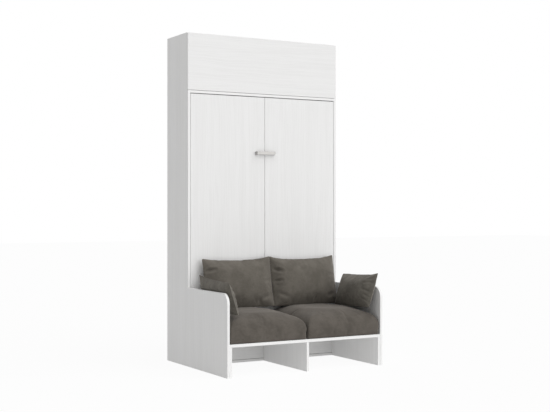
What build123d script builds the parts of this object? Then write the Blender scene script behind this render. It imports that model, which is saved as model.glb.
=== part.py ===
from build123d import *
import math
import os

# Wall bed with sofa, in millimetres. +Z is up, the sofa looks along -Y, and the origin lies on the
# floor under the middle of the whole footprint. Depths are measured from the cabinet's front plane
# into the cabinet, so what stands in front of it has a negative depth.

# Cabinet
cabinet_width = 1376.0
cabinet_depth = 400.0
cabinet_height = 2170.0
upper_height = 455.0
board = 20.0
back_board = 8.0
plinth_gap = 3.0
lower_front_board = 16.0

# Sofa
arm_reach = 680.0
arm_height = 618.0
arm_corner = 80.0
seat_board_top = 245.0
seat_board_thickness = 22.0
seat_setback = 2.0
seat_cushion_height = 210.0
seat_cushion_round = 150.0
cushion_gap = 3.0
edge_break = 0.8

# Loose cushions
back_cushion_width = 600.0
back_cushion_height = 402.0
back_cushion_thickness = 156.0
back_cushion_lean = 7.0
back_cushion_shift = 7.0
arm_pillow_length = 500.0
arm_pillow_height = 284.0
arm_pillow_thickness = 112.0
arm_pillow_lean = 15.0
arm_pillow_left_depth = -400.0
arm_pillow_right_depth = -410.0
cushion_clear = 2.0
seam_pull = 0.055

# Bed front
front_board = 20.0
front_gap = 3.0
front_top_gap = 6.0
front_tail = 205.0
front_over_seat = 10.0
handle_length = 176.0
handle_height = 26.0
handle_reach = 30.0
handle_band = 6.0
handle_bend = 11.0
handle_level = 1690.0
handle_round = 1.5

# Bed frame
rail_width = 25.0
rail_depth = 60.0
tube_wall = 2.0
rail_lip = 35.0
rail_lip_wall = 3.0
cross_tube = 30.0
cross_tube_levels = (0.08, 0.36, 0.66, 0.95)
frame_tail = 301.0
head_stop_reach = 150.0
head_stop_height = 20.0
slat_count = 14
slat_width = 68.0
slat_thickness = 8.0
slat_bow = 10.0
slat_end_gap = 6.0
holder_reach = 16.0
holder_rim = 4.0

# Mattress
mattress_side_gap = 3.0
mattress_thickness = 150.0
mattress_round = 45.0
mattress_edge = 14.0
mattress_end_gap = 20.0
strap_width = 40.0
strap_thickness = 2.0
strap_slack = 0.5
strap_levels = (0.27, 0.6)

# Fold pivot
pivot_depth = 40.0
pivot_pin_radius = 8.0
pivot_collar_radius = 12.0
pivot_collar_length = 8.0
pivot_plate_width = 90.0
pivot_plate_height = 200.0
pivot_plate_thickness = 4.0
pivot_plate_offset_y = 11.25
pivot_plate_offset_z = 25.0
pivot_plate_corner = 15.0
pivot_screw_step_y = 30.0
pivot_screw_step_z = 77.0
running_gap = 0.05
bed_plate_width = 54.0
bed_plate_thickness = 6.0
bed_plate_above = 175.0
bed_plate_below = 30.0
bed_bolt_rises = (73.5, 136.5, -70.0)

# Gas springs of the bed
lever = 140.0
anchor_depth = 330.0
anchor_above_pivot = 495.0
anchor_plate = 60.0
anchor_plate_thickness = 3.0
anchor_screw_inset = 0.1875
anchor_pin_radius = 4.0
spring_radius = 11.0
spring_rod_radius = 5.0
spring_body = 330.0
sliding_gap = 0.3
tube_wall_share = 1 / 7
eye_over_pin = 2.4
eye_width_over_tube = 1.45
neck_over_eye = 1.6

# Foot leg
leg_pivot_rise = 15.0
leg_pivot_below_top = 15.0
leg_tube_radius = 10.0
leg_crank = 47.0
leg_bend = 26.0
leg_turn = 247.5
leg_eye_radius = 13.0
leg_eye_width = 14.0
leg_bolt_radius = 5.0
leg_floor_gap = 1.0
pad_radius = 12.5
pad_length = 60.0
pad_spread = 500.0

# Upper cabinet
flap_board = 20.0
flap_gap = 3.0
flap_bumper = 1.5
flap_open = 85.0
hinge_spread = 500.0
hinge_cup_radius = 17.5
hinge_cup_depth = 11.0
hinge_cup_wall = 2.5
hinge_cup_floor = 2.2
hinge_arm_width = 14.0
hinge_arm_length = 50.0
hinge_arm_height = 12.0
hinge_plate_thickness = 3.0
hinge_plate_end = 60.0
stay_anchor_depth = 250.0
stay_anchor_drop = 320.0
stay_bracket_drop = 100.0
stay_bracket_depth = 42.0
stay_bracket_inset = 12.0
stay_side_gap = 9.75
stay_radius = 7.5
stay_rod_radius = 3.5
stay_body = 190.0
stay_pin_radius = 3.0
stay_plate = 36.0
latch_length = 55.0
latch_height = 16.0
latch_width = 16.0
latch_travel = 10.0
latch_pin_radius = 3.0

# Wall rails
rail_board_height = 100.0
wall_hole_radius = 5.0
wall_hole_spread = 1000.0

# Screws
screw_sides = 8
screw_radius = 2.5
screw_head_radius = 5.0
screw_length = 14.0
bolt_radius = 4.0
bolt_head_radius = 7.0
bolt_head_height = 2.5
bolt_head_sides = 6
handle_screw_radius = 2.0
handle_screw_head = 4.0
handle_screw_head_height = 2.5
handle_screw_bite = 4.0

# Places worked out from the sizes above
front_y = (arm_reach - cabinet_depth) / 2
rear_y = front_y + cabinet_depth
half_width = cabinet_width / 2
inner = half_width - board
total_height = cabinet_height + upper_height
cavity_top = cabinet_height - board
back_y = rear_y - back_board
seat_top = seat_board_top + seat_cushion_height
pivot_y = front_y + pivot_depth
pivot_z = seat_top + front_over_seat + pivot_depth
front_back_y = front_y + front_board
front_bottom = pivot_z - front_tail
front_top = cavity_top - front_top_gap
front_half = inner - front_gap
lower_front_top = pivot_z - math.hypot(front_tail, pivot_depth) - front_gap
slat_top_y = front_back_y + rail_depth
mattress_back_y = slat_top_y + mattress_thickness
mattress_top = front_top - mattress_end_gap
frame_bottom = pivot_z - frame_tail
frame_top = mattress_top + mattress_end_gap / 4
mattress_bottom = frame_bottom + head_stop_height
mattress_length = mattress_top - mattress_bottom
rail_outer = inner - 2 * leg_tube_radius - 2 * front_gap - leg_eye_width
rail_inner = rail_outer - rail_width
mattress_width = 2 * (rail_inner - mattress_side_gap)
bed_plate_outer = rail_outer + bed_plate_thickness
spring_x = (bed_plate_outer + inner) / 2 - anchor_plate_thickness
leg_x = (rail_outer + inner) / 2 - anchor_plate_thickness
leg_pivot_y = slat_top_y + leg_pivot_rise
leg_pivot_z = frame_top - leg_pivot_below_top
upper_y = front_y + flap_board + flap_bumper
flap_pivot_y = front_y + flap_board + flap_bumper / 2
flap_top = total_height - flap_gap
flap_bottom = cabinet_height + flap_gap
flap_pivot_z = flap_top


def block(low, high):
    """A box from its lowest corner to its highest corner."""
    size = [b - a for a, b in zip(low, high)]
    centre = [(a + b) / 2 for a, b in zip(low, high)]
    return Pos(*centre) * Box(*size)


def rod_x(x_from, x_to, y, z, radius):
    """A round bar along X."""
    return Pos((x_from + x_to) / 2, y, z) * Rot(0, 90, 0) * Cylinder(radius, abs(x_to - x_from))


def rod_y(y_from, y_to, x, z, radius):
    """A round bar along Y."""
    return Pos(x, (y_from + y_to) / 2, z) * Rot(90, 0, 0) * Cylinder(radius, abs(y_to - y_from))


def bar_x(x_from, x_to, y, z, radius, sides):
    """A bar along X with flat sides, such as a hexagon head."""
    section = RegularPolygon(radius, sides)
    return side_plate(min(x_from, x_to), max(x_from, x_to), Pos(y, z) * section)


def side_plate(x_from, x_to, outline):
    """A flat plate across X from a closed outline of (y, z) points or a sketch in local XY."""
    plane = Plane(origin=(x_from, 0, 0), x_dir=(0, 1, 0), z_dir=(1, 0, 0))
    return extrude(plane * outline, amount=x_to - x_from)


def right(shape):
    """The right-hand twin of a left-hand piece."""
    return mirror(shape, about=Plane.YZ)


def group(pieces):
    """Separate solids kept together in one node."""
    solids = []
    for piece in pieces:
        solids.extend(piece.solids())
    return Compound(solids)


# Cabinet boards


def pivot_recess():
    """The pocket routed into the left side panel for the pivot plate."""
    return side_plate(-inner - pivot_plate_thickness, -inner, pivot_outline())


def side_panel():
    """Left side of the lower cabinet, with the pivot plate let in flush."""
    panel = block((-half_width, front_y, 0), (-inner, rear_y, cabinet_height))
    return panel - pivot_recess() - group(pivot_screws()) - group(anchor_screws())


def cross_panel(bottom, top, y_from=front_y):
    """A board between the two sides, from the given depth to the back board."""
    return block((-inner, y_from, bottom), (inner, back_y, top))


def wall_holes(levels):
    """Drills for the wall screws, one pair at each level."""
    depth = back_y - board, rear_y
    spots = [(side * wall_hole_spread / 2, z) for side in (-1, 1) for z in levels]
    return group([rod_y(*depth, x, z, wall_hole_radius) for x, z in spots])


def rail_levels():
    """Lower edges of the three wall rails."""
    under_top = cavity_top - rail_board_height
    under_roof = total_height - board - rail_board_height
    return board, under_top, under_roof


def hole_levels():
    """Heights of the drilled wall holes: the middle of the two upper rails."""
    return [z + rail_board_height / 2 for z in rail_levels()[1:]]


def wall_rails():
    """Three cross rails against the back boards, the upper two drilled for the wall."""
    holes = wall_holes(hole_levels())
    rails = []
    for z in rail_levels():
        low, high = (-inner, back_y - board, z), (inner, back_y, z + rail_board_height)
        rails.append(block(low, high) - holes)
    return group(rails)


def back_panel(bottom, top):
    """A thin back board let in between the sides, drilled where a rail is drilled."""
    panel = block((-inner, back_y, bottom), (inner, rear_y, top))
    return panel - wall_holes(hole_levels())


def lower_front_panel():
    """The fixed board under the bed front, over a shadow gap."""
    low = (-inner, front_y, board + plinth_gap)
    return block(low, (inner, front_y + lower_front_board, lower_front_top))


def upper_side():
    """Left side of the upper cabinet."""
    low = (-half_width, upper_y, cabinet_height)
    return block(low, (-inner, rear_y, total_height)) - group(stay_anchor_screws())


# Sofa boards


def armrest():
    """Left arm: a board in line with the cabinet side, its top front corner rounded."""
    far = front_y - arm_reach
    with BuildSketch() as outline:
        with BuildLine():
            Polyline((front_y, 0), (far, 0), (far, arm_height), (front_y, arm_height), close=True)
        make_face()
        fillet(outline.vertices().group_by(Axis.Y)[-1].sort_by(Axis.X)[0], arm_corner)
    arm = side_plate(-half_width, -inner, outline.sketch)
    free = [e for e in arm.edges() if e.center().Y < front_y - edge_break and e.center().Z > edge_break]
    long_free = [e for e in free if e.length > board + edge_break]
    return chamfer(long_free, edge_break)


def seat_board():
    """The seat board between the arms, its front edge broken."""
    low = (-inner, front_y - arm_reach + seat_setback, seat_board_top - seat_board_thickness)
    plank = block(low, (inner, front_y, seat_board_top))
    return chamfer(plank.edges().filter_by(Axis.X).group_by(Axis.Y)[0], edge_break)


def seat_support(x_from):
    """An upright under the seat board."""
    low = (x_from, front_y - arm_reach + seat_setback, 0)
    return block(low, (x_from + board, front_y, seat_board_top - seat_board_thickness))


# Soft pieces


def drawn_outline(half_x, half_y, bulge):
    """Four arcs between corners; a negative bulge draws the sides in."""
    corners = [(-half_x, -half_y), (half_x, -half_y), (half_x, half_y), (-half_x, half_y)]
    crests = [(0, -half_y - bulge), (half_x + bulge, 0), (0, half_y + bulge), (-half_x - bulge, 0)]
    arcs = []
    for index, crest in enumerate(crests):
        arcs.append(ThreePointArc(corners[index], crest, corners[(index + 1) % len(corners)]))
    return make_face(arcs)


def soft_half(half_x, half_y, rise, levels):
    """One crowned half: outlines that shrink and round out as they climb."""
    sections = []
    for share, inset, bulge in levels:
        face = drawn_outline(half_x - inset * half_y, half_y - inset * half_y, bulge * half_y)
        sections.append(Pos(0, 0, share * rise) * face)
    return loft(sections)


def pillow(width, height, thickness):
    """A loose cushion lying flat: sharp seam all round, corners out, both faces crowned."""
    levels = (
        (0.0, 0.0, -2 * seam_pull),
        (0.3, 0.06, -seam_pull),
        (0.62, 0.2, 0.4 * seam_pull),
        (0.86, 0.42, 1.6 * seam_pull),
        (1.0, 0.7, 2 * seam_pull),
    )
    half = soft_half(width / 2, height / 2, thickness / 2, levels)
    return half + mirror(half, about=Plane.XY)


def seat_cushion():
    """Left seat cushion: a box cushion with drawn-in sides, round top edges and a crown."""
    half_x = (inner - cushion_gap - cushion_gap / 2) / 2
    depth = arm_reach - 2 * cushion_gap
    inset = seat_cushion_round / (depth / 2)
    pull = cushion_gap / (depth / 2)
    levels = (
        (0.0, 0.03, -pull),
        (0.1, 0.01, -pull / 2),
        (0.6, 0.01, pull / 2),
        (0.79, 0.04, pull),
        (0.91, 0.12, 2 * pull),
        (0.975, 0.6 * inset, 4 * pull),
        (1.0, 1.2 * inset, 5 * pull),
    )
    body = soft_half(half_x, depth / 2, seat_cushion_height, levels)
    middle = front_y - arm_reach / 2
    return Pos(-cushion_gap / 2 - half_x, middle, seat_board_top) * body


def back_cushion(side):
    """A loose back cushion that leans on the bed front."""
    cushion = pillow(back_cushion_width, back_cushion_height, back_cushion_thickness)
    standing = Rot(90 - back_cushion_lean, 0, 0) * cushion
    box = standing.bounding_box()
    x = side * (back_cushion_width / 2 + cushion_gap) + back_cushion_shift
    y = front_y - cushion_clear - box.max.Y
    return Pos(x, y, seat_top + cushion_clear - box.min.Z) * standing


def arm_pillow(side, depth):
    """A loose pillow that leans on an arm."""
    cushion = pillow(arm_pillow_length, arm_pillow_height, arm_pillow_thickness)
    standing = Rot(0, side * arm_pillow_lean, 0) * Rot(0, 0, 90) * Rot(90, 0, 0) * cushion
    box = standing.bounding_box()
    outer = box.min.X if side < 0 else box.max.X
    x = side * (inner - cushion_clear) - outer
    return Pos(x, front_y + depth, seat_top - cushion_clear - box.min.Z) * standing


def mattress():
    """The mattress on the folding frame, with round corners and soft edges."""
    half = mattress_width / 2
    body = block((-half, slat_top_y, mattress_bottom), (half, mattress_back_y, mattress_top))
    body = fillet(body.edges().filter_by(Axis.Y), mattress_round)
    rims = body.faces().filter_by(Axis.Y)
    edges = [edge for face in rims for edge in face.edges()]
    return fillet(edges, mattress_edge)


def mattress_straps():
    """Two webbing straps that keep the mattress on the frame when it stands up."""
    straps = []
    for share in strap_levels:
        z = mattress_bottom + share * mattress_length
        half = mattress_width / 2 + strap_slack
        far = mattress_back_y + strap_slack
        inner_round = mattress_edge
        outer = Rectangle(2 * (half + strap_thickness), far + strap_thickness - slat_top_y)
        hollow = Rectangle(2 * half, far - slat_top_y)
        outer = Pos(0, (far + strap_thickness + slat_top_y) / 2) * outer
        hollow = Pos(0, (far + slat_top_y) / 2) * hollow
        outer = fillet(outer.vertices().group_by(Axis.Y)[-1], inner_round + strap_thickness)
        hollow = fillet(hollow.vertices().group_by(Axis.Y)[-1], inner_round)
        straps.append(Pos(0, 0, z) * extrude(outer - hollow, amount=strap_width))
    return group(straps)


# Bed front


def door(side):
    """One board of the bed front; the two meet at a gap on the centre line."""
    near, far = sorted((side * front_gap / 2, side * front_half))
    panel = block((near, front_y, front_bottom), (far, front_back_y, front_top))
    panel = chamfer(panel.edges(), edge_break)
    return panel - group(handle_screws())


def handle_outline():
    """The bow handle seen from above: a flat band bent square, with feet on the two boards."""
    half = handle_length / 2
    reach = front_y - handle_reach
    near = reach + handle_band
    outer = Polyline((-half, front_y), (-half, reach), (half, reach), (half, front_y))
    inner_half = half - 2 * handle_band
    cut = Polyline((-inner_half, front_y), (-inner_half, near), (inner_half, near), (inner_half, front_y))
    solid = make_face([*outer.edges(), Line((half, front_y), (-half, front_y))])
    hollow = make_face([*cut.edges(), Line((inner_half, front_y), (-inner_half, front_y))])
    solid = fillet(solid.vertices().group_by(Axis.Y)[0], handle_bend)
    hollow = fillet(hollow.vertices().group_by(Axis.Y)[0], handle_bend - handle_band)
    return solid - hollow


def door_handle():
    """The bow handle that bridges the two boards of the bed front."""
    band = extrude(handle_outline(), amount=handle_height)
    edges = band.faces().filter_by(Axis.Z).edges()
    outer = [e for e in edges if e.center().Y < front_y - handle_band]
    band = chamfer(outer, handle_round)
    return Pos(0, 0, handle_level - handle_height / 2) * band - group(handle_screws())


def handle_screws():
    """Two screws from behind the boards into the handle's feet."""
    x_mid = handle_length / 2 - handle_band
    screws = []
    for x in (-x_mid, x_mid):
        shank = rod_y(front_y - handle_screw_bite, front_back_y, x, handle_level, handle_screw_radius)
        far = front_back_y + handle_screw_head_height
        screws.append(shank + rod_y(front_back_y, far, x, handle_level, handle_screw_head))
    return screws


# Bed frame


def frame_rail():
    """Left side rail: a rectangular tube with a lip that keeps the mattress in."""
    low = (-rail_outer, front_back_y, frame_bottom)
    tube = block(low, (-rail_inner, slat_top_y, frame_top))
    hollow_low = (low[0] + tube_wall, low[1] + tube_wall, frame_bottom)
    hollow = block(hollow_low, (-rail_inner - tube_wall, slat_top_y - tube_wall, frame_top))
    lip_low = (-rail_outer, slat_top_y, frame_bottom)
    lip = block(lip_low, (-rail_outer + rail_lip_wall, slat_top_y + rail_lip, frame_top))
    return tube - hollow + lip - group(bed_bolts()) - group(leg_bolts())


def box_tube(z_from, z_to, y_to):
    """A hollow cross tube between the rails, against the bed front."""
    outer = block((-rail_inner, front_back_y, z_from), (rail_inner, y_to, z_to))
    low = (-rail_inner, front_back_y + tube_wall, z_from + tube_wall)
    return outer - block(low, (rail_inner, y_to - tube_wall, z_to - tube_wall))


def frame_cross_tubes():
    """The head stop that carries the standing mattress, and the tubes behind the bed front."""
    pieces = [box_tube(frame_bottom, mattress_bottom, front_back_y + head_stop_reach)]
    for share in cross_tube_levels:
        z = mattress_bottom + share * mattress_length
        tube = box_tube(z, z + cross_tube, front_back_y + cross_tube)
        pieces.append(tube - group(handle_screws()))
    return group(pieces)


def slat_levels():
    """Lower edges of the slats, evenly spread over the mattress."""
    pitch = mattress_length / slat_count
    start = mattress_bottom + (pitch - slat_width) / 2
    return [start + index * pitch for index in range(slat_count)]


def slat():
    """One sprung slat, bowed towards the mattress."""
    half = rail_inner - slat_end_gap
    low = slat_top_y - slat_bow - slat_thickness
    crest = slat_top_y - slat_thickness
    ends = low + slat_thickness
    under = ThreePointArc((-half, low), (0, crest), (half, low))
    over = ThreePointArc((half, ends), (0, slat_top_y), (-half, ends))
    sides = [Line((half, low), (half, ends)), Line((-half, ends), (-half, low))]
    return extrude(make_face([under, sides[0], over, sides[1]]), amount=slat_width)


def slats():
    """All the slats."""
    one = slat()
    return group([Pos(0, 0, z) * one for z in slat_levels()])


def slat_holders():
    """A moulded cap on each slat end, fixed to the inner face of the rail."""
    one = slat()
    low_y = slat_top_y - slat_bow - slat_thickness - holder_rim
    high_y = slat_top_y - slat_bow + holder_rim
    low = (-rail_inner, low_y, -holder_rim)
    cap = block(low, (-rail_inner + holder_reach, high_y, slat_width + holder_rim)) - one
    return group([Pos(0, 0, z) * piece for z in slat_levels() for piece in (cap, right(cap))])


# Fold pivot


def pivot_outline():
    """The pivot plate's outline on the cabinet side, as a sketch of depth and height."""
    shape = RectangleRounded(pivot_plate_width, pivot_plate_height, pivot_plate_corner)
    return Pos(pivot_y + pivot_plate_offset_y, pivot_z + pivot_plate_offset_z) * shape


def pivot_screws():
    """Countersunk screws of the left pivot plate."""
    centre_y = pivot_y + pivot_plate_offset_y
    centre_z = pivot_z + pivot_plate_offset_z
    spots = []
    for dy in (-1, 1):
        for dz in (-1, 0, 1):
            spots.append((centre_y + dy * pivot_screw_step_y, centre_z + dz * pivot_screw_step_z))
    return [countersunk(y, z, -inner) for y, z in spots]


def countersunk(y, z, face_x):
    """A countersunk screw driven towards the left, its head flush with the given face."""
    neck_x = face_x - (screw_head_radius - screw_radius)
    ends = [(face_x, screw_head_radius), (neck_x, screw_radius)]
    rims = [
        Plane(origin=(x, y, z), x_dir=(0, 1, 0), z_dir=(1, 0, 0)) * RegularPolygon(radius, screw_sides)
        for x, radius in reversed(ends)
    ]
    shank = bar_x(face_x - screw_length, neck_x, y, z, screw_radius, screw_sides)
    return loft(rims, ruled=True) + shank


def pivot_plate():
    """The left steel plate that carries the fold pivot."""
    plate = side_plate(-inner - pivot_plate_thickness, -inner, pivot_outline())
    return plate - group(pivot_screws())


def pivot_pin():
    """The left pivot pin with its collar against the plate."""
    end = rail_outer + front_gap / 6
    pin = rod_x(-inner, -end, pivot_y, pivot_z, pivot_pin_radius)
    return pin + rod_x(-inner, -inner + pivot_collar_length, pivot_y, pivot_z, pivot_collar_radius)


def bed_plate():
    """The left plate on the bed rail that turns on the pin and carries the gas spring's lever."""
    centre_y = front_back_y + rail_depth / 2
    low = pivot_z - lever - bed_plate_below
    high = pivot_z + bed_plate_above
    shape = RectangleRounded(bed_plate_width, high - low, bed_plate_width / 2.2)
    plate = side_plate(-bed_plate_outer, -rail_outer, Pos(centre_y, (low + high) / 2) * shape)
    bore = rod_x(-bed_plate_outer, -rail_outer, pivot_y, pivot_z, pivot_pin_radius + running_gap)
    stub = rod_x(-bed_plate_outer - front_gap, -bed_plate_outer, pivot_y, pivot_z - lever, anchor_pin_radius)
    return plate - bore - group(bed_bolts()) + stub


def bed_bolts():
    """Bolts of the left bed plate into the rail."""
    y = front_back_y + rail_depth / 2
    bolts = []
    for z in [pivot_z + rise for rise in bed_bolt_rises]:
        shank = bar_x(-bed_plate_outer, -rail_outer + tube_wall, y, z, bolt_radius, screw_sides)
        top = -bed_plate_outer - bolt_head_height
        bolts.append(shank + bar_x(top, -bed_plate_outer, y, z, bolt_head_radius, bolt_head_sides))
    return bolts


# Gas springs


def spring_frame(x, start, end):
    """A local frame at the fixed eye, with Z along the gas spring."""
    return Plane(origin=(x, *start), x_dir=(1, 0, 0), z_dir=(0, end[0] - start[0], end[1] - start[1]))


def eye(radius, width, pin_radius):
    """A round eye across X with a running bore."""
    ring = Rot(0, 90, 0) * Cylinder(radius, width)
    return ring - Rot(0, 90, 0) * Cylinder(pin_radius + running_gap, width)


def gas_spring(x, start, end, radius, rod_radius, body, pin_radius, drawn_out):
    """A gas spring as cylinder and rod between two points, its piston near the mouth when drawn out."""
    length = math.dist(start, end)
    eye_radius = eye_over_pin * pin_radius
    width = eye_width_over_tube * radius
    neck = neck_over_eye * eye_radius
    bore = radius * (1 - tube_wall_share)
    tube = Pos(0, 0, neck + body / 2) * Cylinder(radius, body)
    tube += Pos(0, 0, neck / 2 + pin_radius) * Cylinder(rod_radius, neck - pin_radius)
    tube += eye(eye_radius, width, pin_radius)
    tube -= Pos(0, 0, neck + body / 2) * Cylinder(bore, body - 2 * eye_radius)
    tube -= Pos(0, 0, neck + body - eye_radius / 2) * Cylinder(rod_radius + sliding_gap, 2 * eye_radius)
    tube -= Rot(0, 90, 0) * Cylinder(pin_radius + running_gap, width)
    piston_z = neck + 3 * eye_radius
    if drawn_out:
        piston_z = neck + body - 3 * eye_radius
    shaft_end = length - 2 * pin_radius
    rod = Pos(0, 0, (piston_z + shaft_end) / 2) * Cylinder(rod_radius, shaft_end - piston_z)
    rod += Pos(0, 0, piston_z) * Cylinder(bore - sliding_gap, eye_radius)
    rod += Pos(0, 0, length) * eye(eye_radius, width, pin_radius)
    rod -= Pos(0, 0, length) * Rot(0, 90, 0) * Cylinder(pin_radius + running_gap, width)
    frame = spring_frame(x, start, end)
    return frame * tube, frame * rod


def bed_spring():
    """The left gas spring of the bed, from the cabinet side to the lever under the pivot."""
    start = (front_y + anchor_depth, pivot_z + anchor_above_pivot)
    end = (pivot_y, pivot_z - lever)
    return gas_spring(
        -spring_x,
        start,
        end,
        spring_radius,
        spring_rod_radius,
        spring_body,
        anchor_pin_radius,
        drawn_out=True,
    )


def anchor_spots(y, z, plate):
    """Screw places on a square anchor plate."""
    step = plate / 2 - anchor_screw_inset * plate
    return [(y + a * step, z + b * step) for a in (-1, 1) for b in (-1, 1)]


def anchor_screws():
    """Screws of the left gas spring anchor."""
    spots = anchor_spots(front_y + anchor_depth, pivot_z + anchor_above_pivot, anchor_plate)
    return [countersunk(y, z, -inner + anchor_plate_thickness) for y, z in spots]


def stay_anchor_screws():
    """Screws of the left flap stay anchor."""
    spots = anchor_spots(front_y + stay_anchor_depth, flap_pivot_z - stay_anchor_drop, stay_plate)
    return [countersunk(y, z, -inner + anchor_plate_thickness) for y, z in spots]


def anchor(y, z, plate, x, width, pin_radius, screws):
    """A plate on the left cabinet side with a pin through a gas spring's fixed eye."""
    shape = Pos(y, z) * RectangleRounded(plate, plate, plate / 8)
    body = side_plate(-inner, -inner + anchor_plate_thickness, shape)
    tip = -x + width / 2 + front_gap / 2
    body += rod_x(-inner + anchor_plate_thickness, tip, y, z, pin_radius)
    shoulder = -x - width / 2 - front_gap / 2
    body += rod_x(-inner + anchor_plate_thickness, shoulder, y, z, 2 * pin_radius)
    return body - group(screws)


def bed_anchor():
    """The left anchor of the bed's gas spring."""
    y, z = front_y + anchor_depth, pivot_z + anchor_above_pivot
    width = eye_width_over_tube * spring_radius
    return anchor(y, z, anchor_plate, spring_x, width, anchor_pin_radius, anchor_screws())


def stay_anchor():
    """The left anchor of the flap's gas stay."""
    y, z = front_y + stay_anchor_depth, flap_pivot_z - stay_anchor_drop
    width = eye_width_over_tube * stay_radius
    return anchor(y, z, stay_plate, stay_x(), width, stay_pin_radius, stay_anchor_screws())


# Foot leg


def leg_drop():
    """How far the open leg reaches below its pivot, down to just over the floor."""
    height = pivot_z + (leg_pivot_y - pivot_y)
    return height - pad_radius - leg_floor_gap


def leg_place(shape):
    """Fold a piece drawn open about the leg pivot and set it on the closed bed."""
    return Pos(0, leg_pivot_y, leg_pivot_z) * Rot(-leg_turn, 0, 0) * shape


def leg_arm_open():
    """The left cranked arm as it stands when the bed is down, about its pivot, in the bed's frame."""
    drop = leg_drop()
    route = FilletPolyline((-leg_x, 0, 0), (-leg_x, 0, leg_crank), (-leg_x, -drop, leg_crank), radius=leg_bend)
    section = Plane(origin=(-leg_x, 0, 0), z_dir=(0, 0, 1)) * Circle(leg_tube_radius)
    bar = sweep(section, path=route)
    wide, narrow = leg_tube_radius, leg_eye_width / 2
    faces = rod_x(-leg_x - wide, -leg_x - narrow, 0, 0, leg_eye_radius)
    faces += rod_x(-leg_x + narrow, -leg_x + wide, 0, 0, leg_eye_radius)
    ring = rod_x(-leg_x - narrow, -leg_x + narrow, 0, 0, leg_eye_radius)
    bore = rod_x(-leg_x - narrow, -leg_x + narrow, 0, 0, leg_bolt_radius + running_gap)
    foot = Pos(-leg_x, -drop, leg_crank) * Sphere(leg_tube_radius)
    return bar - faces + ring + foot - bore


def leg_crossbar_open():
    """The bar between the two arms that stands on the floor."""
    bar = rod_x(-leg_x, leg_x, -leg_drop(), leg_crank, leg_tube_radius)
    arm = leg_arm_open()
    return bar - arm - right(arm)


def foot_pads_open():
    """Two rubber sleeves on the crossbar."""
    pads = []
    for side in (-1, 1):
        middle = side * pad_spread
        ends = (middle - pad_length / 2, middle + pad_length / 2)
        sleeve = rod_x(*ends, -leg_drop(), leg_crank, pad_radius)
        pads.append(sleeve - rod_x(*ends, -leg_drop(), leg_crank, leg_tube_radius))
    return group(pads)


def leg_bracket():
    """The left bracket on the rail's end that carries the leg's bolt."""
    low_y = front_back_y + tube_wall
    high_y = leg_pivot_y + leg_eye_radius
    height = 2 * leg_eye_radius + 2 * rail_lip_wall
    shape = Pos((low_y + high_y) / 2, leg_pivot_z) * RectangleRounded(high_y - low_y, height, leg_bolt_radius)
    plate = side_plate(-rail_outer - rail_lip_wall, -rail_outer, shape)
    return plate - group(leg_bolts())


def leg_bolts():
    """The left leg bolt: head outside, shank through the eye, bracket and rail lip."""
    outside = -leg_x - leg_eye_width / 2 - front_gap / 6
    shank = rod_x(outside, -rail_outer + rail_lip_wall, leg_pivot_y, leg_pivot_z, leg_bolt_radius)
    top = outside - bolt_head_height
    head = bar_x(top, outside, leg_pivot_y, leg_pivot_z, bolt_head_radius, bolt_head_sides)
    return [shank + head]


def bed_fasteners():
    """Handle screws, plate bolts and leg bolts of the folding bed."""
    left = group([*bed_bolts(), *leg_bolts()])
    return group([*handle_screws(), left, right(left)])


# Upper cabinet


def flap_door():
    """The lift-up front of the upper cabinet, with bored cups for its hinges."""
    face = front_y + flap_board
    panel = block((-half_width, front_y, flap_bottom), (half_width, face, flap_top))
    bores = [rod_y(face - hinge_cup_depth, face, x, hinge_level(), hinge_cup_radius) for x in hinge_places()]
    return chamfer(panel.edges(), edge_break) - group(bores)


def hinge_level():
    """Height of the hinge cups' centres."""
    return flap_pivot_z - board - hinge_cup_radius


def hinge_places():
    """Where the flap's hinges stand along X."""
    return (-hinge_spread, 0, hinge_spread)


def flap_hinge_cups():
    """Round hinge cups sunk into the back of the flap."""
    face = front_y + flap_board
    cups = []
    for x in hinge_places():
        cup = rod_y(face - hinge_cup_depth, face, x, hinge_level(), hinge_cup_radius)
        floor = face - hinge_cup_depth + hinge_cup_floor
        room = rod_y(floor, face, x, hinge_level(), hinge_cup_radius - hinge_cup_wall)
        cups.append(cup - room)
    return group(cups)


def flap_hinge_arms():
    """Hinge arms screwed under the roof of the upper cabinet, reaching to the cups."""
    roof = total_height - board
    start = upper_y + flap_bumper
    arms = []
    for x in hinge_places():
        wide = hinge_arm_width
        plate_low = (x - wide, start + hinge_arm_length / 2, roof - hinge_plate_thickness)
        plate = block(plate_low, (x + wide, start + hinge_plate_end, roof))
        arm_low = (x - wide / 2, start, roof - hinge_plate_thickness - hinge_arm_height)
        arm = block(arm_low, (x + wide / 2, start + hinge_arm_length, roof - hinge_plate_thickness))
        arm = chamfer(arm.edges().filter_by(Axis.X).group_by(Axis.Z)[0], hinge_arm_height / 3)
        arms.append(plate + arm)
    return group(arms)


def stay_x():
    """Middle plane of the flap stays."""
    return inner - anchor_plate_thickness - front_gap - stay_side_gap


def flap_stay():
    """The left gas stay of the flap."""
    start = (front_y + stay_anchor_depth, flap_pivot_z - stay_anchor_drop)
    end = (front_y + stay_bracket_depth, flap_pivot_z - stay_bracket_drop)
    return gas_spring(
        -stay_x(),
        start,
        end,
        stay_radius,
        stay_rod_radius,
        stay_body,
        stay_pin_radius,
        drawn_out=False,
    )


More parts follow.
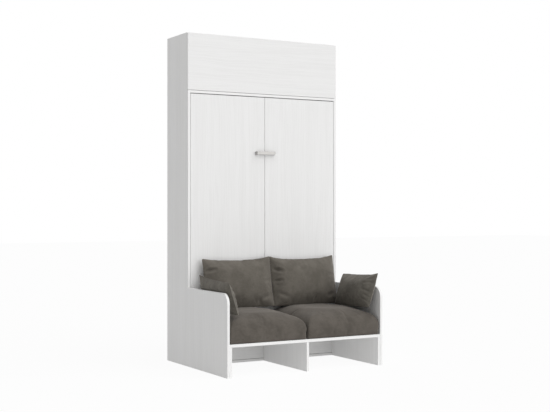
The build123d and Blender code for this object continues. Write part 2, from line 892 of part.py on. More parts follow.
def flap_bracket():
    """The left bracket on the flap that carries the stay's rod end."""
    face = front_y + flap_board
    z = flap_pivot_z - stay_bracket_drop
    near = stay_x() - stay_bracket_inset
    ear_end = front_y + stay_bracket_depth + 2 * stay_pin_radius
    half = 3 * stay_pin_radius
    low = (-near, face, z - 2 * half)
    base = block(low, (-near + 2 * half, face + rail_lip_wall, z + 2 * half))
    ear = block((-near, face, z - half), (-near + rail_lip_wall, ear_end, z + half))
    stub_end = -stay_x() + eye_width_over_tube * stay_radius / 2 + front_gap / 3
    return base + ear + rod_x(-near, stub_end, front_y + stay_bracket_depth, z, stay_pin_radius)


def latch_body():
    """The push latch housing on the floor of the upper cabinet."""
    floor = cabinet_height + board
    low = (-latch_width / 2, upper_y + flap_bumper, floor)
    housing = block(low, (latch_width / 2, low[1] + latch_length, floor + latch_height))
    housing = fillet(housing.edges().filter_by(Axis.Y).group_by(Axis.Z)[-1], latch_height / 4)
    bore_end = low[1] + latch_length - latch_travel / 2
    return housing - rod_y(low[1], bore_end, 0, floor + latch_height / 2, latch_pin_radius + running_gap)


def latch_plunger():
    """The latch's sprung pin, which pushes the flap open."""
    start = front_y + flap_board
    end = upper_y + flap_bumper + latch_length - latch_travel
    return rod_y(start, end, 0, cabinet_height + board + latch_height / 2, latch_pin_radius)


# All nodes

side_left = side_panel()
upper_left = upper_side()
arm_left = armrest()
support_left = seat_support(-inner)
seat_left = seat_cushion()
rail_left = frame_rail()
plate_left = pivot_plate()
pin_left = pivot_pin()
bed_plate_left = bed_plate()
bed_cylinder, bed_rod = bed_spring()
stay_cylinder, stay_rod = flap_stay()
anchors = group([bed_anchor(), stay_anchor()])
screws_left = group([*pivot_screws(), *anchor_screws(), *stay_anchor_screws()])
bracket_left = flap_bracket()
leg_arm = leg_place(leg_arm_open())
leg_bracket_left = leg_bracket()

nodes = {
    "side_panel_left": side_left,
    "side_panel_right": right(side_left),
    "bottom_panel": cross_panel(0, board),
    "top_panel": cross_panel(cavity_top, cabinet_height),
    "back_panel": back_panel(0, cabinet_height),
    "lower_front_panel": lower_front_panel(),
    "wall_rails": wall_rails(),
    "upper_side_left": upper_left,
    "upper_side_right": right(upper_left),
    "upper_bottom_panel": cross_panel(cabinet_height, cabinet_height + board, upper_y),
    "upper_top_panel": cross_panel(total_height - board, total_height, upper_y),
    "upper_back_panel": back_panel(cabinet_height, total_height),
    "armrest_left": arm_left,
    "armrest_right": right(arm_left),
    "seat_board": seat_board(),
    "seat_support_left": support_left,
    "seat_support_middle": seat_support(-board / 2),
    "seat_support_right": right(support_left),
    "seat_cushion_left": seat_left,
    "seat_cushion_right": right(seat_left),
    "back_cushion_left": back_cushion(-1),
    "back_cushion_right": back_cushion(1),
    "arm_pillow_left": arm_pillow(-1, arm_pillow_left_depth),
    "arm_pillow_right": arm_pillow(1, arm_pillow_right_depth),
    "pivot_plate_left": plate_left,
    "pivot_plate_right": right(plate_left),
    "pivot_pins": group([pin_left, right(pin_left)]),
    "gas_spring_anchors": group([anchors, right(anchors)]),
    "cabinet_screws": group([screws_left, right(screws_left)]),
    "flap_hinge_arms": flap_hinge_arms(),
    "latch_body": latch_body(),
    "door_left": door(-1),
    "door_right": door(1),
    "door_handle": door_handle(),
    "bed_fasteners": bed_fasteners(),
    "frame_rail_left": rail_left,
    "frame_rail_right": right(rail_left),
    "frame_cross_tubes": frame_cross_tubes(),
    "slats": slats(),
    "slat_holders": slat_holders(),
    "mattress": mattress(),
    "mattress_straps": mattress_straps(),
    "bed_plate_left": bed_plate_left,
    "bed_plate_right": right(bed_plate_left),
    "leg_brackets": group([leg_bracket_left, right(leg_bracket_left)]),
    "leg_arms": group([leg_arm, right(leg_arm)]),
    "leg_crossbar": leg_place(leg_crossbar_open()),
    "foot_pads": leg_place(foot_pads_open()),
    "gas_cylinder_left": bed_cylinder,
    "gas_cylinder_right": right(bed_cylinder),
    "gas_rod_left": bed_rod,
    "gas_rod_right": right(bed_rod),
    "flap_door": flap_door(),
    "flap_hinge_cups": flap_hinge_cups(),
    "flap_brackets": group([bracket_left, right(bracket_left)]),
    "stay_cylinders": group([stay_cylinder, right(stay_cylinder)]),
    "stay_rods": group([stay_rod, right(stay_rod)]),
    "latch_plunger": latch_plunger(),
}

os.makedirs("parts", exist_ok=True)
for name, shape in nodes.items():
    export_step(shape, f"parts/{name}.step")
print(len(nodes), "nodes")
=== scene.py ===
"""Wall bed with sofa: board, metal and fabric finishes, stuffed cushions, studio and camera."""

import logging
import math
from collections.abc import Callable, Iterator, Sequence
from contextlib import contextmanager
from dataclasses import dataclass
from enum import Enum
from typing import Any

import bpy
import numpy as np
from mathutils import Matrix, Vector


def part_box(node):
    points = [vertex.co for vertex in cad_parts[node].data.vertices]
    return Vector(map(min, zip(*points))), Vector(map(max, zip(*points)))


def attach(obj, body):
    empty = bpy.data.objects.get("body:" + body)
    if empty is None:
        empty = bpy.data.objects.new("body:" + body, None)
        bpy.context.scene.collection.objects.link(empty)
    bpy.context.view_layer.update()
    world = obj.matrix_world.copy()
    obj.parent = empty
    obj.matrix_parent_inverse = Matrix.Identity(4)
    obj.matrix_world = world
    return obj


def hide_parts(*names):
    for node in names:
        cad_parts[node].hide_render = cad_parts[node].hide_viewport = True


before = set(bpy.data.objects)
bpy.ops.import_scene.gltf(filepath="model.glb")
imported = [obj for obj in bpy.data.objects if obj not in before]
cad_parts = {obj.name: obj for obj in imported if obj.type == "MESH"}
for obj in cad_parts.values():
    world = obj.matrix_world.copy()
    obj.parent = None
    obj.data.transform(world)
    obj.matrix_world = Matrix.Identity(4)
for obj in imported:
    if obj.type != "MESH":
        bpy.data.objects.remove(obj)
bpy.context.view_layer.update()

LOG = logging.getLogger("wall_bed")

MM = 0.001
Colour = tuple[float, float, float]
Place = Sequence[float]
Span = tuple[float, float, float]
Piece = bpy.types.Object
Material = bpy.types.Material
Socket = bpy.types.NodeSocket
Tree = bpy.types.NodeTree
EdgeTest = Callable[[Vector, Vector], bool]


class Axis(Enum):
    """A direction of the object's own frame."""

    X = 0
    Y = 1
    Z = 2


# Wiring of finishes


@dataclass
class NodeSheet:
    """One node tree, wired with short calls."""

    tree: Tree

    def add(self, kind: str, feeds: dict[Any, Any] | None = None, **settings: Any) -> bpy.types.Node:
        """Adds a node, sets its options and feeds its sockets.

        Args:
            kind: The node's type name.
            feeds: Values or output sockets by input name or number.
            settings: Options of the node itself.

        Returns:
            The new node.
        """
        node = self.tree.nodes.new(kind)
        for key, value in settings.items():
            setattr(node, key, value)
        for key, value in (feeds or {}).items():
            if isinstance(value, Socket):
                self.tree.links.new(value, node.inputs[key])
            else:
                node.inputs[key].default_value = value
        return node

    def math(self, operation: str, *values: Any, clamp: bool = False) -> Socket:
        """A Math node on values or sockets."""
        feeds = dict(enumerate(values))
        return self.add("ShaderNodeMath", feeds, operation=operation, use_clamp=clamp).outputs[0]

    def stretch(self, vector: Any, scale: Place) -> Socket:
        """A vector with each part multiplied."""
        feeds = {0: vector, 1: tuple(scale)}
        return self.add("ShaderNodeVectorMath", feeds, operation="MULTIPLY").outputs[0]

    def split(self, vector: Any) -> Sequence[Socket]:
        """A vector's three parts."""
        return self.add("ShaderNodeSeparateXYZ", {0: vector}).outputs

    def join(self, *parts: Any) -> Socket:
        """A vector of up to three parts."""
        return self.add("ShaderNodeCombineXYZ", dict(enumerate(parts))).outputs[0]

    def scale(self, vector: Any, factor: Any) -> Socket:
        """A vector made longer by one factor."""
        return self.add("ShaderNodeVectorMath", {0: vector, 3: factor}, operation="SCALE").outputs[0]

    def noise(self, vector: Any, scale: float, detail: float = 3.0, rough: float = 0.5) -> Socket:
        """A noise value from 0 to 1."""
        feeds = {"Vector": vector, "Scale": scale, "Detail": detail, "Roughness": rough}
        return self.add("ShaderNodeTexNoise", feeds).outputs[0]

    def remap(self, value: Any, low: float, high: float, to_low: float, to_high: float) -> Socket:
        """A value moved smoothly from one range to another."""
        feeds = {0: value, 1: low, 2: high, 3: to_low, 4: to_high}
        return self.add("ShaderNodeMapRange", feeds, interpolation_type="SMOOTHSTEP").outputs[0]

    def mix(self, share: Any, first: Any, second: Any, blend: str = "MIX") -> Socket:
        """Two colours mixed."""
        feeds = {0: share, 6: opaque(first), 7: opaque(second)}
        return self.add("ShaderNodeMix", feeds, data_type="RGBA", blend_type=blend).outputs[2]


def opaque(colour: Any) -> Any:
    """A colour with its fourth part, or the socket as it is."""
    return colour if isinstance(colour, Socket) else (*colour, 1.0)


class Effect:
    """A shared node group: a surface effect with named inputs and outputs."""

    def __init__(self, name: str) -> None:
        """Starts the group with its two ends.

        Args:
            name: The group's name.
        """
        self.tree = bpy.data.node_groups.new(name, "ShaderNodeTree")
        self.sheet = NodeSheet(self.tree)
        self.entry = self.tree.nodes.new("NodeGroupInput")
        self.exit = self.tree.nodes.new("NodeGroupOutput")

    def take(self, name: str, default: float | None = None) -> Socket:
        """Adds an input.

        Args:
            name: The input's name.
            default: Its usual value, or None for a vector.

        Returns:
            The socket inside the group.
        """
        kind = "NodeSocketVector" if default is None else "NodeSocketFloat"
        socket = self.tree.interface.new_socket(name, in_out="INPUT", socket_type=kind)
        if default is not None:
            socket.default_value = default
        return self.entry.outputs[name]

    def give(self, name: str, source: Socket) -> None:
        """Adds an output value."""
        self.tree.interface.new_socket(name, in_out="OUTPUT", socket_type="NodeSocketFloat")
        self.tree.links.new(source, self.exit.inputs[name])


class Effects:
    """The effects that more than one finish uses, each built once."""

    grain_warp = (5.0, 1.1, 5.0)
    grain_bend = 0.09
    grain_tone = (14.0, 0.5, 14.0)
    grain_rings = (70.0, 0.9, 70.0)
    grain_pores = (1500.0, 40.0, 1500.0)
    scratches = (30.0, 900.0, 900.0)

    def __init__(self) -> None:
        """Builds the groups."""
        self.grain = self.build_grain()
        self.nap = self.build_nap()
        self.weave = self.build_weave()
        self.handling = self.build_handling()

    def build_grain(self) -> Tree:
        """Wood figure along the second axis: broad tone, arched growth lines and short pores.

        Returns:
            The group's tree.
        """
        effect = Effect("wood_grain")
        sheet = effect.sheet
        place = effect.take("Vector")
        figure = effect.take("Figure", 1.0)
        pore_length = effect.take("Pore Length", 1.0)
        warp = sheet.noise(sheet.stretch(place, self.grain_warp), 1.0, 2.0)
        parts = sheet.split(place)
        across = sheet.math("MULTIPLY_ADD", warp, self.grain_bend, parts[0])
        bent = sheet.join(across, parts[1], parts[2])
        tone = sheet.noise(sheet.stretch(bent, self.grain_tone), 1.0, 4.0, 0.55)
        rings = sheet.noise(sheet.stretch(bent, self.grain_rings), 1.0, 3.0, 0.6)
        lines = sheet.math("ABSOLUTE", sheet.math("SUBTRACT", rings, 0.5))
        lines = sheet.remap(lines, 0.0, 0.07, 1.0, 0.0)
        shade = sheet.math("MULTIPLY_ADD", lines, 0.35, tone)
        short = sheet.scale(sheet.stretch(bent, self.grain_pores), pore_length)
        pores = sheet.remap(sheet.noise(short, 1.0, 1.0), 0.56, 0.7, 0.0, 1.0)
        effect.give("Tone", sheet.math("MULTIPLY", shade, figure))
        effect.give("Pores", pores)
        return effect.tree

    def build_nap(self) -> Tree:
        """Brushed suede: cloudy patches where the pile lies another way, and fine fibre.

        Returns:
            The group's tree.
        """
        effect = Effect("brushed_nap")
        sheet = effect.sheet
        place = effect.take("Vector")
        cloud = effect.take("Cloud Size", 0.1)
        wide = sheet.math("DIVIDE", 1.0, cloud)
        scaled = sheet.scale(place, wide)
        soft = sheet.noise(scaled, 1.0, 3.0, 0.5)
        small = sheet.noise(scaled, 4.3, 4.0, 0.6)
        streak = sheet.noise(sheet.stretch(scaled, (2.2, 2.2, 7.0)), 2.0, 3.0, 0.6)
        clouds = sheet.math("MULTIPLY_ADD", small, 0.45, soft)
        clouds = sheet.math("MULTIPLY_ADD", streak, 0.35, clouds)
        effect.give("Clouds", sheet.remap(clouds, 0.62, 1.18, 0.0, 1.0))
        effect.give("Fibre", sheet.noise(place, 1400.0, 3.0, 0.7))
        effect.give("Crumple", sheet.noise(place, 55.0, 4.0, 0.55))
        return effect.tree

    def build_weave(self) -> Tree:
        """Over and under threads on two directions of a place.

        Returns:
            The group's tree.
        """
        effect = Effect("thread_weave")
        sheet = effect.sheet
        place = effect.take("Vector")
        pitch = effect.take("Pitch", 0.001)
        turn = sheet.math("DIVIDE", math.pi, pitch)
        parts = sheet.split(place)[:2]
        waves = [sheet.math("SINE", sheet.math("MULTIPLY", part, turn)) for part in parts]
        crossing = sheet.math("MULTIPLY", *waves)
        height = sheet.math("MULTIPLY_ADD", crossing, 0.5, 0.5)
        uneven = sheet.noise(place, 260.0, 2.0)
        effect.give("Height", sheet.math("MULTIPLY_ADD", uneven, 0.3, height))
        effect.give("Shade", sheet.remap(crossing, -1.0, 1.0, 0.0, 1.0))
        return effect.tree

    def build_handling(self) -> Tree:
        """Traces of use on hard surfaces: smudges, fine scratches and settled dust.

        Returns:
            The group's tree.
        """
        effect = Effect("handling")
        sheet = effect.sheet
        place = effect.take("Vector")
        size = effect.take("Size", 1.0)
        scaled = sheet.scale(place, size)
        smudge = sheet.noise(scaled, 22.0, 4.0, 0.6)
        line = sheet.noise(sheet.stretch(scaled, self.scratches), 1.0, 2.0, 0.5)
        effect.give("Smudge", sheet.remap(smudge, 0.35, 0.7, 0.0, 1.0))
        effect.give("Scratch", sheet.remap(line, 0.6, 0.72, 0.0, 1.0))
        effect.give("Dust", sheet.noise(scaled, 480.0, 3.0, 0.7))
        return effect.tree


class Surface:
    """A new material with its sheet, its shader and the sockets of place and normal."""

    def __init__(self, name: str) -> None:
        """Makes the material and finds its ends.

        Args:
            name: The material's name.
        """
        self.material = bpy.data.materials.new(name)
        self.material.use_nodes = True
        self.sheet = NodeSheet(self.material.node_tree)
        self.shader = self.material.node_tree.nodes["Principled BSDF"]
        where = self.sheet.add("ShaderNodeTexCoord")
        self.place = where.outputs["Object"]
        self.normal = where.outputs["Normal"]

    def fixed(self, **values: Any) -> None:
        """Sets plain values on the shader, by socket name with _ for a space."""
        for key, value in values.items():
            self.shader.inputs[key.replace("_", " ")].default_value = value

    def feed(self, socket: str, source: Socket) -> None:
        """Links a socket to one of the shader's inputs."""
        self.sheet.tree.links.new(source, self.shader.inputs[socket])

    def effect(self, tree: Tree, **feeds: Any) -> dict[str, Socket]:
        """Places a shared effect.

        Args:
            tree: The effect's group.
            feeds: Values or sockets by input name with _ for a space.

        Returns:
            The effect's outputs by name.
        """
        named = {key.replace("_", " "): value for key, value in feeds.items()}
        node = self.sheet.add("ShaderNodeGroup", named, node_tree=tree)
        return {socket.name: socket for socket in node.outputs}

    def relief(self, *layers: tuple[Socket, float, float]) -> None:
        """Bumps the surface by layers, the first one deepest.

        Args:
            layers: Height socket, strength and distance in metres of each layer.
        """
        normal = None
        for height, strength, distance in layers:
            feeds = {"Height": height, "Strength": strength, "Distance": distance}
            if normal is not None:
                feeds["Normal"] = normal
            normal = self.sheet.add("ShaderNodeBump", feeds).outputs[0]
        self.feed("Normal", normal)


# Finishes


@dataclass(frozen=True)
class Finish:
    """A finish: its material's name and the frame's slot that it stands for."""

    name: str
    slot: str

    def make(self, effects: Effects) -> Material:
        """Builds the material.

        Args:
            effects: The shared effects.

        Returns:
            The material.
        """
        surface = Surface(self.name)
        self.paint(surface, surface.sheet, effects)
        return surface.material

    def paint(self, surface: Surface, sheet: NodeSheet, effects: Effects) -> None:
        """Wires the shader, each finish in its own way.

        Args:
            surface: The new material.
            sheet: The material's wiring.
            effects: The shared effects.
        """
        raise NotImplementedError


@dataclass(frozen=True)
class BoardFinish(Finish):
    """White ash melamine on a board: faint grain and pores on the faces, plain banded edges."""

    face: Axis
    grain: Axis
    tint: Colour = (0.808, 0.806, 0.802)
    shadow_tint: Colour = (0.735, 0.732, 0.725)
    edge_tint: Colour = (0.83, 0.828, 0.822)
    figure: float = 1.0

    def paint(self, surface: Surface, sheet: NodeSheet, effects: Effects) -> None:
        """Wires the shader as Finish.paint says."""
        parts = sheet.split(surface.place)
        across = next(a for a in Axis if a not in (self.face, self.grain))
        along = sheet.join(*(parts[axis.value] for axis in (across, self.grain, self.face)))
        grain = surface.effect(effects.grain, Vector=along, Figure=self.figure)
        touch = surface.effect(effects.handling, Vector=surface.place, Size=0.4)
        tone = sheet.remap(grain["Tone"], 0.3, 0.95, 0.0, 0.5)
        body = sheet.mix(tone, self.tint, self.shadow_tint)
        pores = sheet.math("MULTIPLY", grain["Pores"], 0.3)
        body = sheet.mix(pores, body, self.shadow_tint)
        facing = sheet.split(surface.normal)[self.face.value]
        on_edge = sheet.remap(sheet.math("ABSOLUTE", facing), 0.6, 0.75, 1.0, 0.0)
        surface.feed("Base Color", sheet.mix(on_edge, body, self.edge_tint))
        shine = sheet.math("MULTIPLY_ADD", touch["Smudge"], 0.05, 0.4)
        surface.feed("Roughness", sheet.math("MULTIPLY_ADD", grain["Pores"], 0.12, shine))
        surface.fixed(Specular_IOR_Level=0.35)
        flat = sheet.math("SUBTRACT", 1.0, on_edge)
        depth = sheet.math("MULTIPLY", sheet.math("SUBTRACT", 1.0, grain["Pores"]), flat)
        surface.relief((depth, 0.35, 0.0002), (touch["Dust"], 0.05, 0.0001))


@dataclass(frozen=True)
class SuedeFinish(Finish):
    """Brushed grey-brown microfibre with a soft sheen and cloudy pile."""

    tint: Colour
    light_tint: Colour
    cloud: float = 0.11
    sheen: float = 0.25

    def paint(self, surface: Surface, sheet: NodeSheet, effects: Effects) -> None:
        """Wires the shader as Finish.paint says."""
        nap = surface.effect(effects.nap, Vector=surface.place, Cloud_Size=self.cloud)
        body = sheet.mix(nap["Clouds"], self.tint, self.light_tint)
        fibre = sheet.remap(nap["Fibre"], 0.3, 0.7, 0.0, 0.22)
        surface.feed("Base Color", sheet.mix(fibre, body, self.light_tint))
        surface.feed("Roughness", sheet.math("MULTIPLY_ADD", nap["Clouds"], -0.08, 0.92))
        surface.fixed(
            Specular_IOR_Level=0.2,
            Sheen_Weight=self.sheen,
            Sheen_Roughness=0.45,
            Sheen_Tint=opaque((0.95, 0.9, 0.84)),
        )
        surface.relief((nap["Crumple"], 0.22, 0.003), (nap["Fibre"], 0.35, 0.0005))


@dataclass(frozen=True)
class KnitFinish(Finish):
    """Pale knitted mattress cover."""

    tint: Colour
    shadow_tint: Colour
    pitch: float = 0.0016

    def paint(self, surface: Surface, sheet: NodeSheet, effects: Effects) -> None:
        """Wires the shader as Finish.paint says."""
        parts = sheet.split(surface.place)
        second = sheet.math("ADD", parts[1], parts[2])
        flat = sheet.join(parts[0], second)
        weave = surface.effect(effects.weave, Vector=flat, Pitch=self.pitch)
        nap = surface.effect(effects.nap, Vector=surface.place, Cloud_Size=0.3)
        body = sheet.mix(sheet.math("MULTIPLY", weave["Shade"], 0.5), self.shadow_tint, self.tint)
        clouds = sheet.math("MULTIPLY", nap["Clouds"], 0.3)
        surface.feed("Base Color", sheet.mix(clouds, body, self.tint))
        surface.feed("Roughness", sheet.math("MULTIPLY_ADD", weave["Shade"], -0.06, 0.9))
        surface.fixed(Specular_IOR_Level=0.2, Sheen_Weight=0.15, Sheen_Roughness=0.5)
        surface.relief((nap["Crumple"], 0.15, 0.002), (weave["Height"], 0.5, 0.0005))


@dataclass(frozen=True)
class WebbingFinish(Finish):
    """Woven black webbing, its threads along the strap."""

    tint: Colour
    light_tint: Colour
    pitch: float = 0.0011

    def paint(self, surface: Surface, sheet: NodeSheet, effects: Effects) -> None:
        """Wires the shader as Finish.paint says."""
        parts = sheet.split(surface.place)
        run = sheet.math("ADD", parts[0], parts[1])
        flat = sheet.join(run, parts[2])
        weave = surface.effect(effects.weave, Vector=flat, Pitch=self.pitch)
        surface.feed("Base Color", sheet.mix(weave["Shade"], self.tint, self.light_tint))
        surface.feed("Roughness", sheet.math("MULTIPLY_ADD", weave["Shade"], -0.1, 0.75))
        surface.fixed(Specular_IOR_Level=0.3, Sheen_Weight=0.1)
        surface.relief((weave["Height"], 0.7, 0.0006))


@dataclass(frozen=True)
class MetalFinish(Finish):
    """Bare, plated or painted metal with smudges and fine scratches."""

    tint: Colour
    worn_tint: Colour
    roughness: float
    metallic: float = 1.0
    coat: float = 0.0
    orange_peel: float = 0.0
    brushed: float = 0.0

    def paint(self, surface: Surface, sheet: NodeSheet, effects: Effects) -> None:
        """Wires the shader as Finish.paint says."""
        use = surface.effect(effects.handling, Vector=surface.place)
        smudge = sheet.math("MULTIPLY", use["Smudge"], 0.25)
        marks = sheet.math("MULTIPLY_ADD", use["Scratch"], 0.4, smudge)
        surface.feed("Base Color", sheet.mix(marks, self.tint, self.worn_tint))
        shine = sheet.math("MULTIPLY_ADD", use["Smudge"], 0.12, self.roughness)
        surface.feed("Roughness", sheet.math("MULTIPLY_ADD", use["Dust"], 0.06, shine))
        surface.fixed(Metallic=self.metallic, Coat_Weight=self.coat, Coat_Roughness=0.12)
        fine = sheet.noise(sheet.stretch(surface.place, (60.0, 2400.0, 2400.0)), 1.0, 2.0)
        layers = [(use["Scratch"], 0.05 + self.brushed, 0.0001), (fine, self.brushed, 0.0001)]
        if self.orange_peel:
            layers.append((sheet.noise(surface.place, 900.0, 2.0), self.orange_peel, 0.0003))
        surface.relief(*layers)


@dataclass(frozen=True)
class MouldedFinish(Finish):
    """Moulded plastic or rubber with a fine spark-eroded texture."""

    tint: Colour
    light_tint: Colour
    roughness: float = 0.55
    texture: float = 0.3

    def paint(self, surface: Surface, sheet: NodeSheet, effects: Effects) -> None:
        """Wires the shader as Finish.paint says."""
        use = surface.effect(effects.handling, Vector=surface.place)
        smudge = sheet.math("MULTIPLY", use["Smudge"], 0.3)
        marks = sheet.math("MULTIPLY_ADD", use["Dust"], 0.3, smudge)
        surface.feed("Base Color", sheet.mix(marks, self.tint, self.light_tint))
        surface.feed("Roughness", sheet.math("MULTIPLY_ADD", use["Smudge"], 0.15, self.roughness))
        surface.relief((sheet.noise(surface.place, 2600.0, 2.0), self.texture, 0.0002))


@dataclass(frozen=True)
class BeechFinish(Finish):
    """Bent beech slats: warm tone, short dark flecks, matt lacquer."""

    tint: Colour
    dark_tint: Colour

    def paint(self, surface: Surface, sheet: NodeSheet, effects: Effects) -> None:
        """Wires the shader as Finish.paint says."""
        parts = sheet.split(surface.place)
        along = sheet.join(parts[2], parts[0], parts[1])
        grain = surface.effect(effects.grain, Vector=along, Figure=1.1, Pore_Length=0.55)
        tone = sheet.remap(grain["Tone"], 0.3, 1.0, 0.0, 0.8)
        body = sheet.mix(tone, self.tint, self.dark_tint)
        flecks = sheet.math("MULTIPLY", grain["Pores"], 0.5)
        surface.feed("Base Color", sheet.mix(flecks, body, self.dark_tint))
        surface.feed("Roughness", sheet.math("MULTIPLY_ADD", grain["Pores"], 0.15, 0.45))
        surface.fixed(Coat_Weight=0.15, Coat_Roughness=0.3)
        surface.relief((grain["Pores"], 0.2, 0.0002))


# Hand work on meshes


class Bench:
    """Operators on one piece at a time, as at a workbench."""

    @staticmethod
    def solo(piece: Piece) -> None:
        """Selects a piece alone and makes it active."""
        bpy.ops.object.select_all(action="DESELECT")
        piece.select_set(True)
        bpy.context.view_layer.objects.active = piece

    @staticmethod
    def named(name: str) -> Piece:
        """Names the new active piece, and its mesh, and fixes its place into the mesh."""
        piece = bpy.context.active_object
        piece.name = piece.data.name = name
        bpy.ops.object.transform_apply(location=True, rotation=True, scale=True)
        return piece

    @classmethod
    def box(cls, name: str, low: Place, high: Place) -> Piece:
        """A box between two corners.

        Args:
            name: The piece's name.
            low: Its lowest corner.
            high: Its highest corner.

        Returns:
            The piece.
        """
        bpy.ops.object.select_all(action="DESELECT")
        middle = [(a + b) / 2 for a, b in zip(low, high)]
        bpy.ops.mesh.primitive_cube_add(size=1.0, location=middle)
        bpy.context.active_object.scale = [b - a for a, b in zip(low, high)]
        return cls.named(name)

    @classmethod
    def sheet(cls, name: str, size: tuple[float, float], cells: tuple[int, int]) -> Piece:
        """A flat grid on the floor plane, about the origin.

        Args:
            name: The piece's name.
            size: Its length along X and Y.
            cells: Its cells along X and Y.

        Returns:
            The piece.
        """
        bpy.ops.object.select_all(action="DESELECT")
        bpy.ops.mesh.primitive_grid_add(x_subdivisions=cells[0], y_subdivisions=cells[1], size=1.0)
        bpy.context.active_object.scale = (*size, 1.0)
        return cls.named(name)

    @classmethod
    def tube(cls, name: str, line: np.ndarray, radius: float, closed: bool = True) -> Piece:
        """A round welt or thread along a line of points.

        Args:
            name: The piece's name.
            line: The points, one a row.
            radius: The tube's radius.
            closed: Whether the ends meet.

        Returns:
            The piece as a mesh.
        """
        curve = bpy.data.curves.new(name, "CURVE")
        curve.dimensions = "3D"
        curve.bevel_depth = radius
        curve.bevel_resolution = 1
        curve.use_fill_caps = not closed
        spline = curve.splines.new("POLY")
        spline.points.add(len(line) - 1)
        flat = np.column_stack([line, np.ones(len(line))]).ravel()
        spline.points.foreach_set("co", flat)
        spline.use_cyclic_u = closed
        piece = bpy.data.objects.new(name, curve)
        bpy.context.scene.collection.objects.link(piece)
        cls.solo(piece)
        bpy.ops.object.convert(target="MESH")
        piece.data.name = name
        cls.smooth(piece)
        return piece

    @classmethod
    def twin(cls, name: str, node: str) -> Piece:
        """A welded copy of a frame node's mesh.

        Args:
            name: The new piece's name.
            node: The node that it copies.

        Returns:
            The piece.
        """
        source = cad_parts[node]
        piece = bpy.data.objects.new(name, source.data.copy())
        piece.data.name = name
        bpy.context.scene.collection.objects.link(piece)
        cls.solo(piece)
        with cls.editing(piece):
            bpy.ops.mesh.select_all(action="SELECT")
            bpy.ops.mesh.remove_doubles(threshold=0.01 * MM)
            bpy.ops.mesh.tris_convert_to_quads()
        return piece

    @classmethod
    @contextmanager
    def editing(cls, piece: Piece) -> Iterator[None]:
        """Keeps a piece in edit mode for the length of a with block."""
        cls.solo(piece)
        bpy.ops.object.mode_set(mode="EDIT")
        yield
        bpy.ops.object.mode_set(mode="OBJECT")

    @classmethod
    def pick_edges(cls, piece: Piece, test: EdgeTest) -> None:
        """Selects the edges whose two ends pass a test, and leaves the rest."""
        mesh = piece.data
        for element in (*mesh.vertices, *mesh.polygons, *mesh.edges):
            element.select = False
        for edge in mesh.edges:
            first, second = (mesh.vertices[index].co for index in edge.vertices)
            edge.select = test(first, second)

    @classmethod
    def round_edges(cls, piece: Piece, width: float, steps: int, test: EdgeTest) -> None:
        """Bevels the edges whose two ends pass a test.

        Args:
            piece: The piece.
            width: How far the round reaches on each face.
            steps: Segments of the round.
            test: What the two ends have to be like.
        """
        cls.pick_edges(piece, test)
        with cls.editing(piece):
            bpy.ops.mesh.select_mode(type="EDGE")
            bpy.ops.mesh.bevel(offset=width, segments=steps, profile=0.5, affect="EDGES")

    @classmethod
    def apply(cls, piece: Piece, kind: str, **settings: Any) -> None:
        """Adds a modifier with its settings and applies it."""
        modifier = piece.modifiers.new(kind.lower(), kind)
        for key, value in settings.items():
            setattr(modifier, key, value)
        cls.solo(piece)
        bpy.ops.object.modifier_apply(modifier=modifier.name)

    @classmethod
    def smooth(cls, piece: Piece, degrees: float | None = None) -> None:
        """Shades a piece smooth, all over or up to an angle."""
        cls.solo(piece)
        if degrees is None:
            bpy.ops.object.shade_smooth()
        else:
            bpy.ops.object.shade_smooth_by_angle(angle=math.radians(degrees))

    @staticmethod
    def points(piece: Piece) -> np.ndarray:
        """A piece's mesh points, one a row."""
        flat = np.empty(len(piece.data.vertices) * 3)
        piece.data.vertices.foreach_get("co", flat)
        return flat.reshape(-1, 3)

    @staticmethod
    def move_points(piece: Piece, points: np.ndarray) -> None:
        """Gives a piece's mesh new points."""
        piece.data.vertices.foreach_set("co", points.ravel())
        piece.data.update()

    @staticmethod
    def normals(piece: Piece) -> np.ndarray:
        """The directions that a piece's points face, one a row."""
        flat = np.empty(len(piece.data.vertices) * 3, np.float32)
        piece.data.vertex_normals.foreach_get("vector", flat)
        return flat.reshape(-1, 3).astype(float)

    @staticmethod
    def dress(piece: Piece, material: Material) -> None:
        """Gives a piece one material all over."""
        piece.data.materials.clear()
        piece.data.materials.append(material)


@dataclass(frozen=True)
class Filling:
    """How a closed cover is blown out by its filling, as cloth under pressure."""

    quality: int = 4
    air_damping: float = 2.0
    pressure: float = 5.0
    frames: int = 24
    slack: float = 0.0
    stretch: float = 18.0
    bending: float = 0.3
    cap: float = 1.0
    weight: float = 0.3
    pull: Span = (1.0, 1.0, 1.0)

    def blow(self, cover: Piece, held: Sequence[int] = ()) -> None:
        """Runs the cloth and leaves its result in the mesh.

        Args:
            cover: A closed mesh.
            held: Points that stay where they are.
        """
        before = Bench.points(cover)
        cloth = cover.modifiers.new("filling", "CLOTH")
        settings = cloth.settings
        settings.quality = self.quality
        settings.mass = self.weight
        settings.air_damping = self.air_damping
        settings.tension_stiffness = settings.compression_stiffness = self.stretch
        settings.shear_stiffness = self.stretch / 3
        settings.bending_stiffness = self.bending
        settings.shrink_min = -self.slack
        settings.use_pressure = True
        settings.uniform_pressure_force = self.pressure
        settings.effector_weights.gravity = 0.0
        cloth.collision_settings.use_collision = False
        if held:
            group = cover.vertex_groups.new(name="held")
            group.add(list(held), 1.0, "REPLACE")
            settings.vertex_group_mass = "held"
        for step in range(1, self.frames + 1):
            bpy.context.scene.frame_set(step)
        Bench.solo(cover)
        bpy.ops.object.modifier_apply(modifier=cloth.name)
        bpy.context.scene.frame_set(1)
        cover.vertex_groups.clear()
        moved = (Bench.points(cover) - before) * np.array(self.pull)
        far = np.linalg.norm(moved, axis=1, keepdims=True)
        share = np.minimum(1.0, self.cap / np.maximum(far, 1e-9))
        Bench.move_points(cover, before + moved * share)


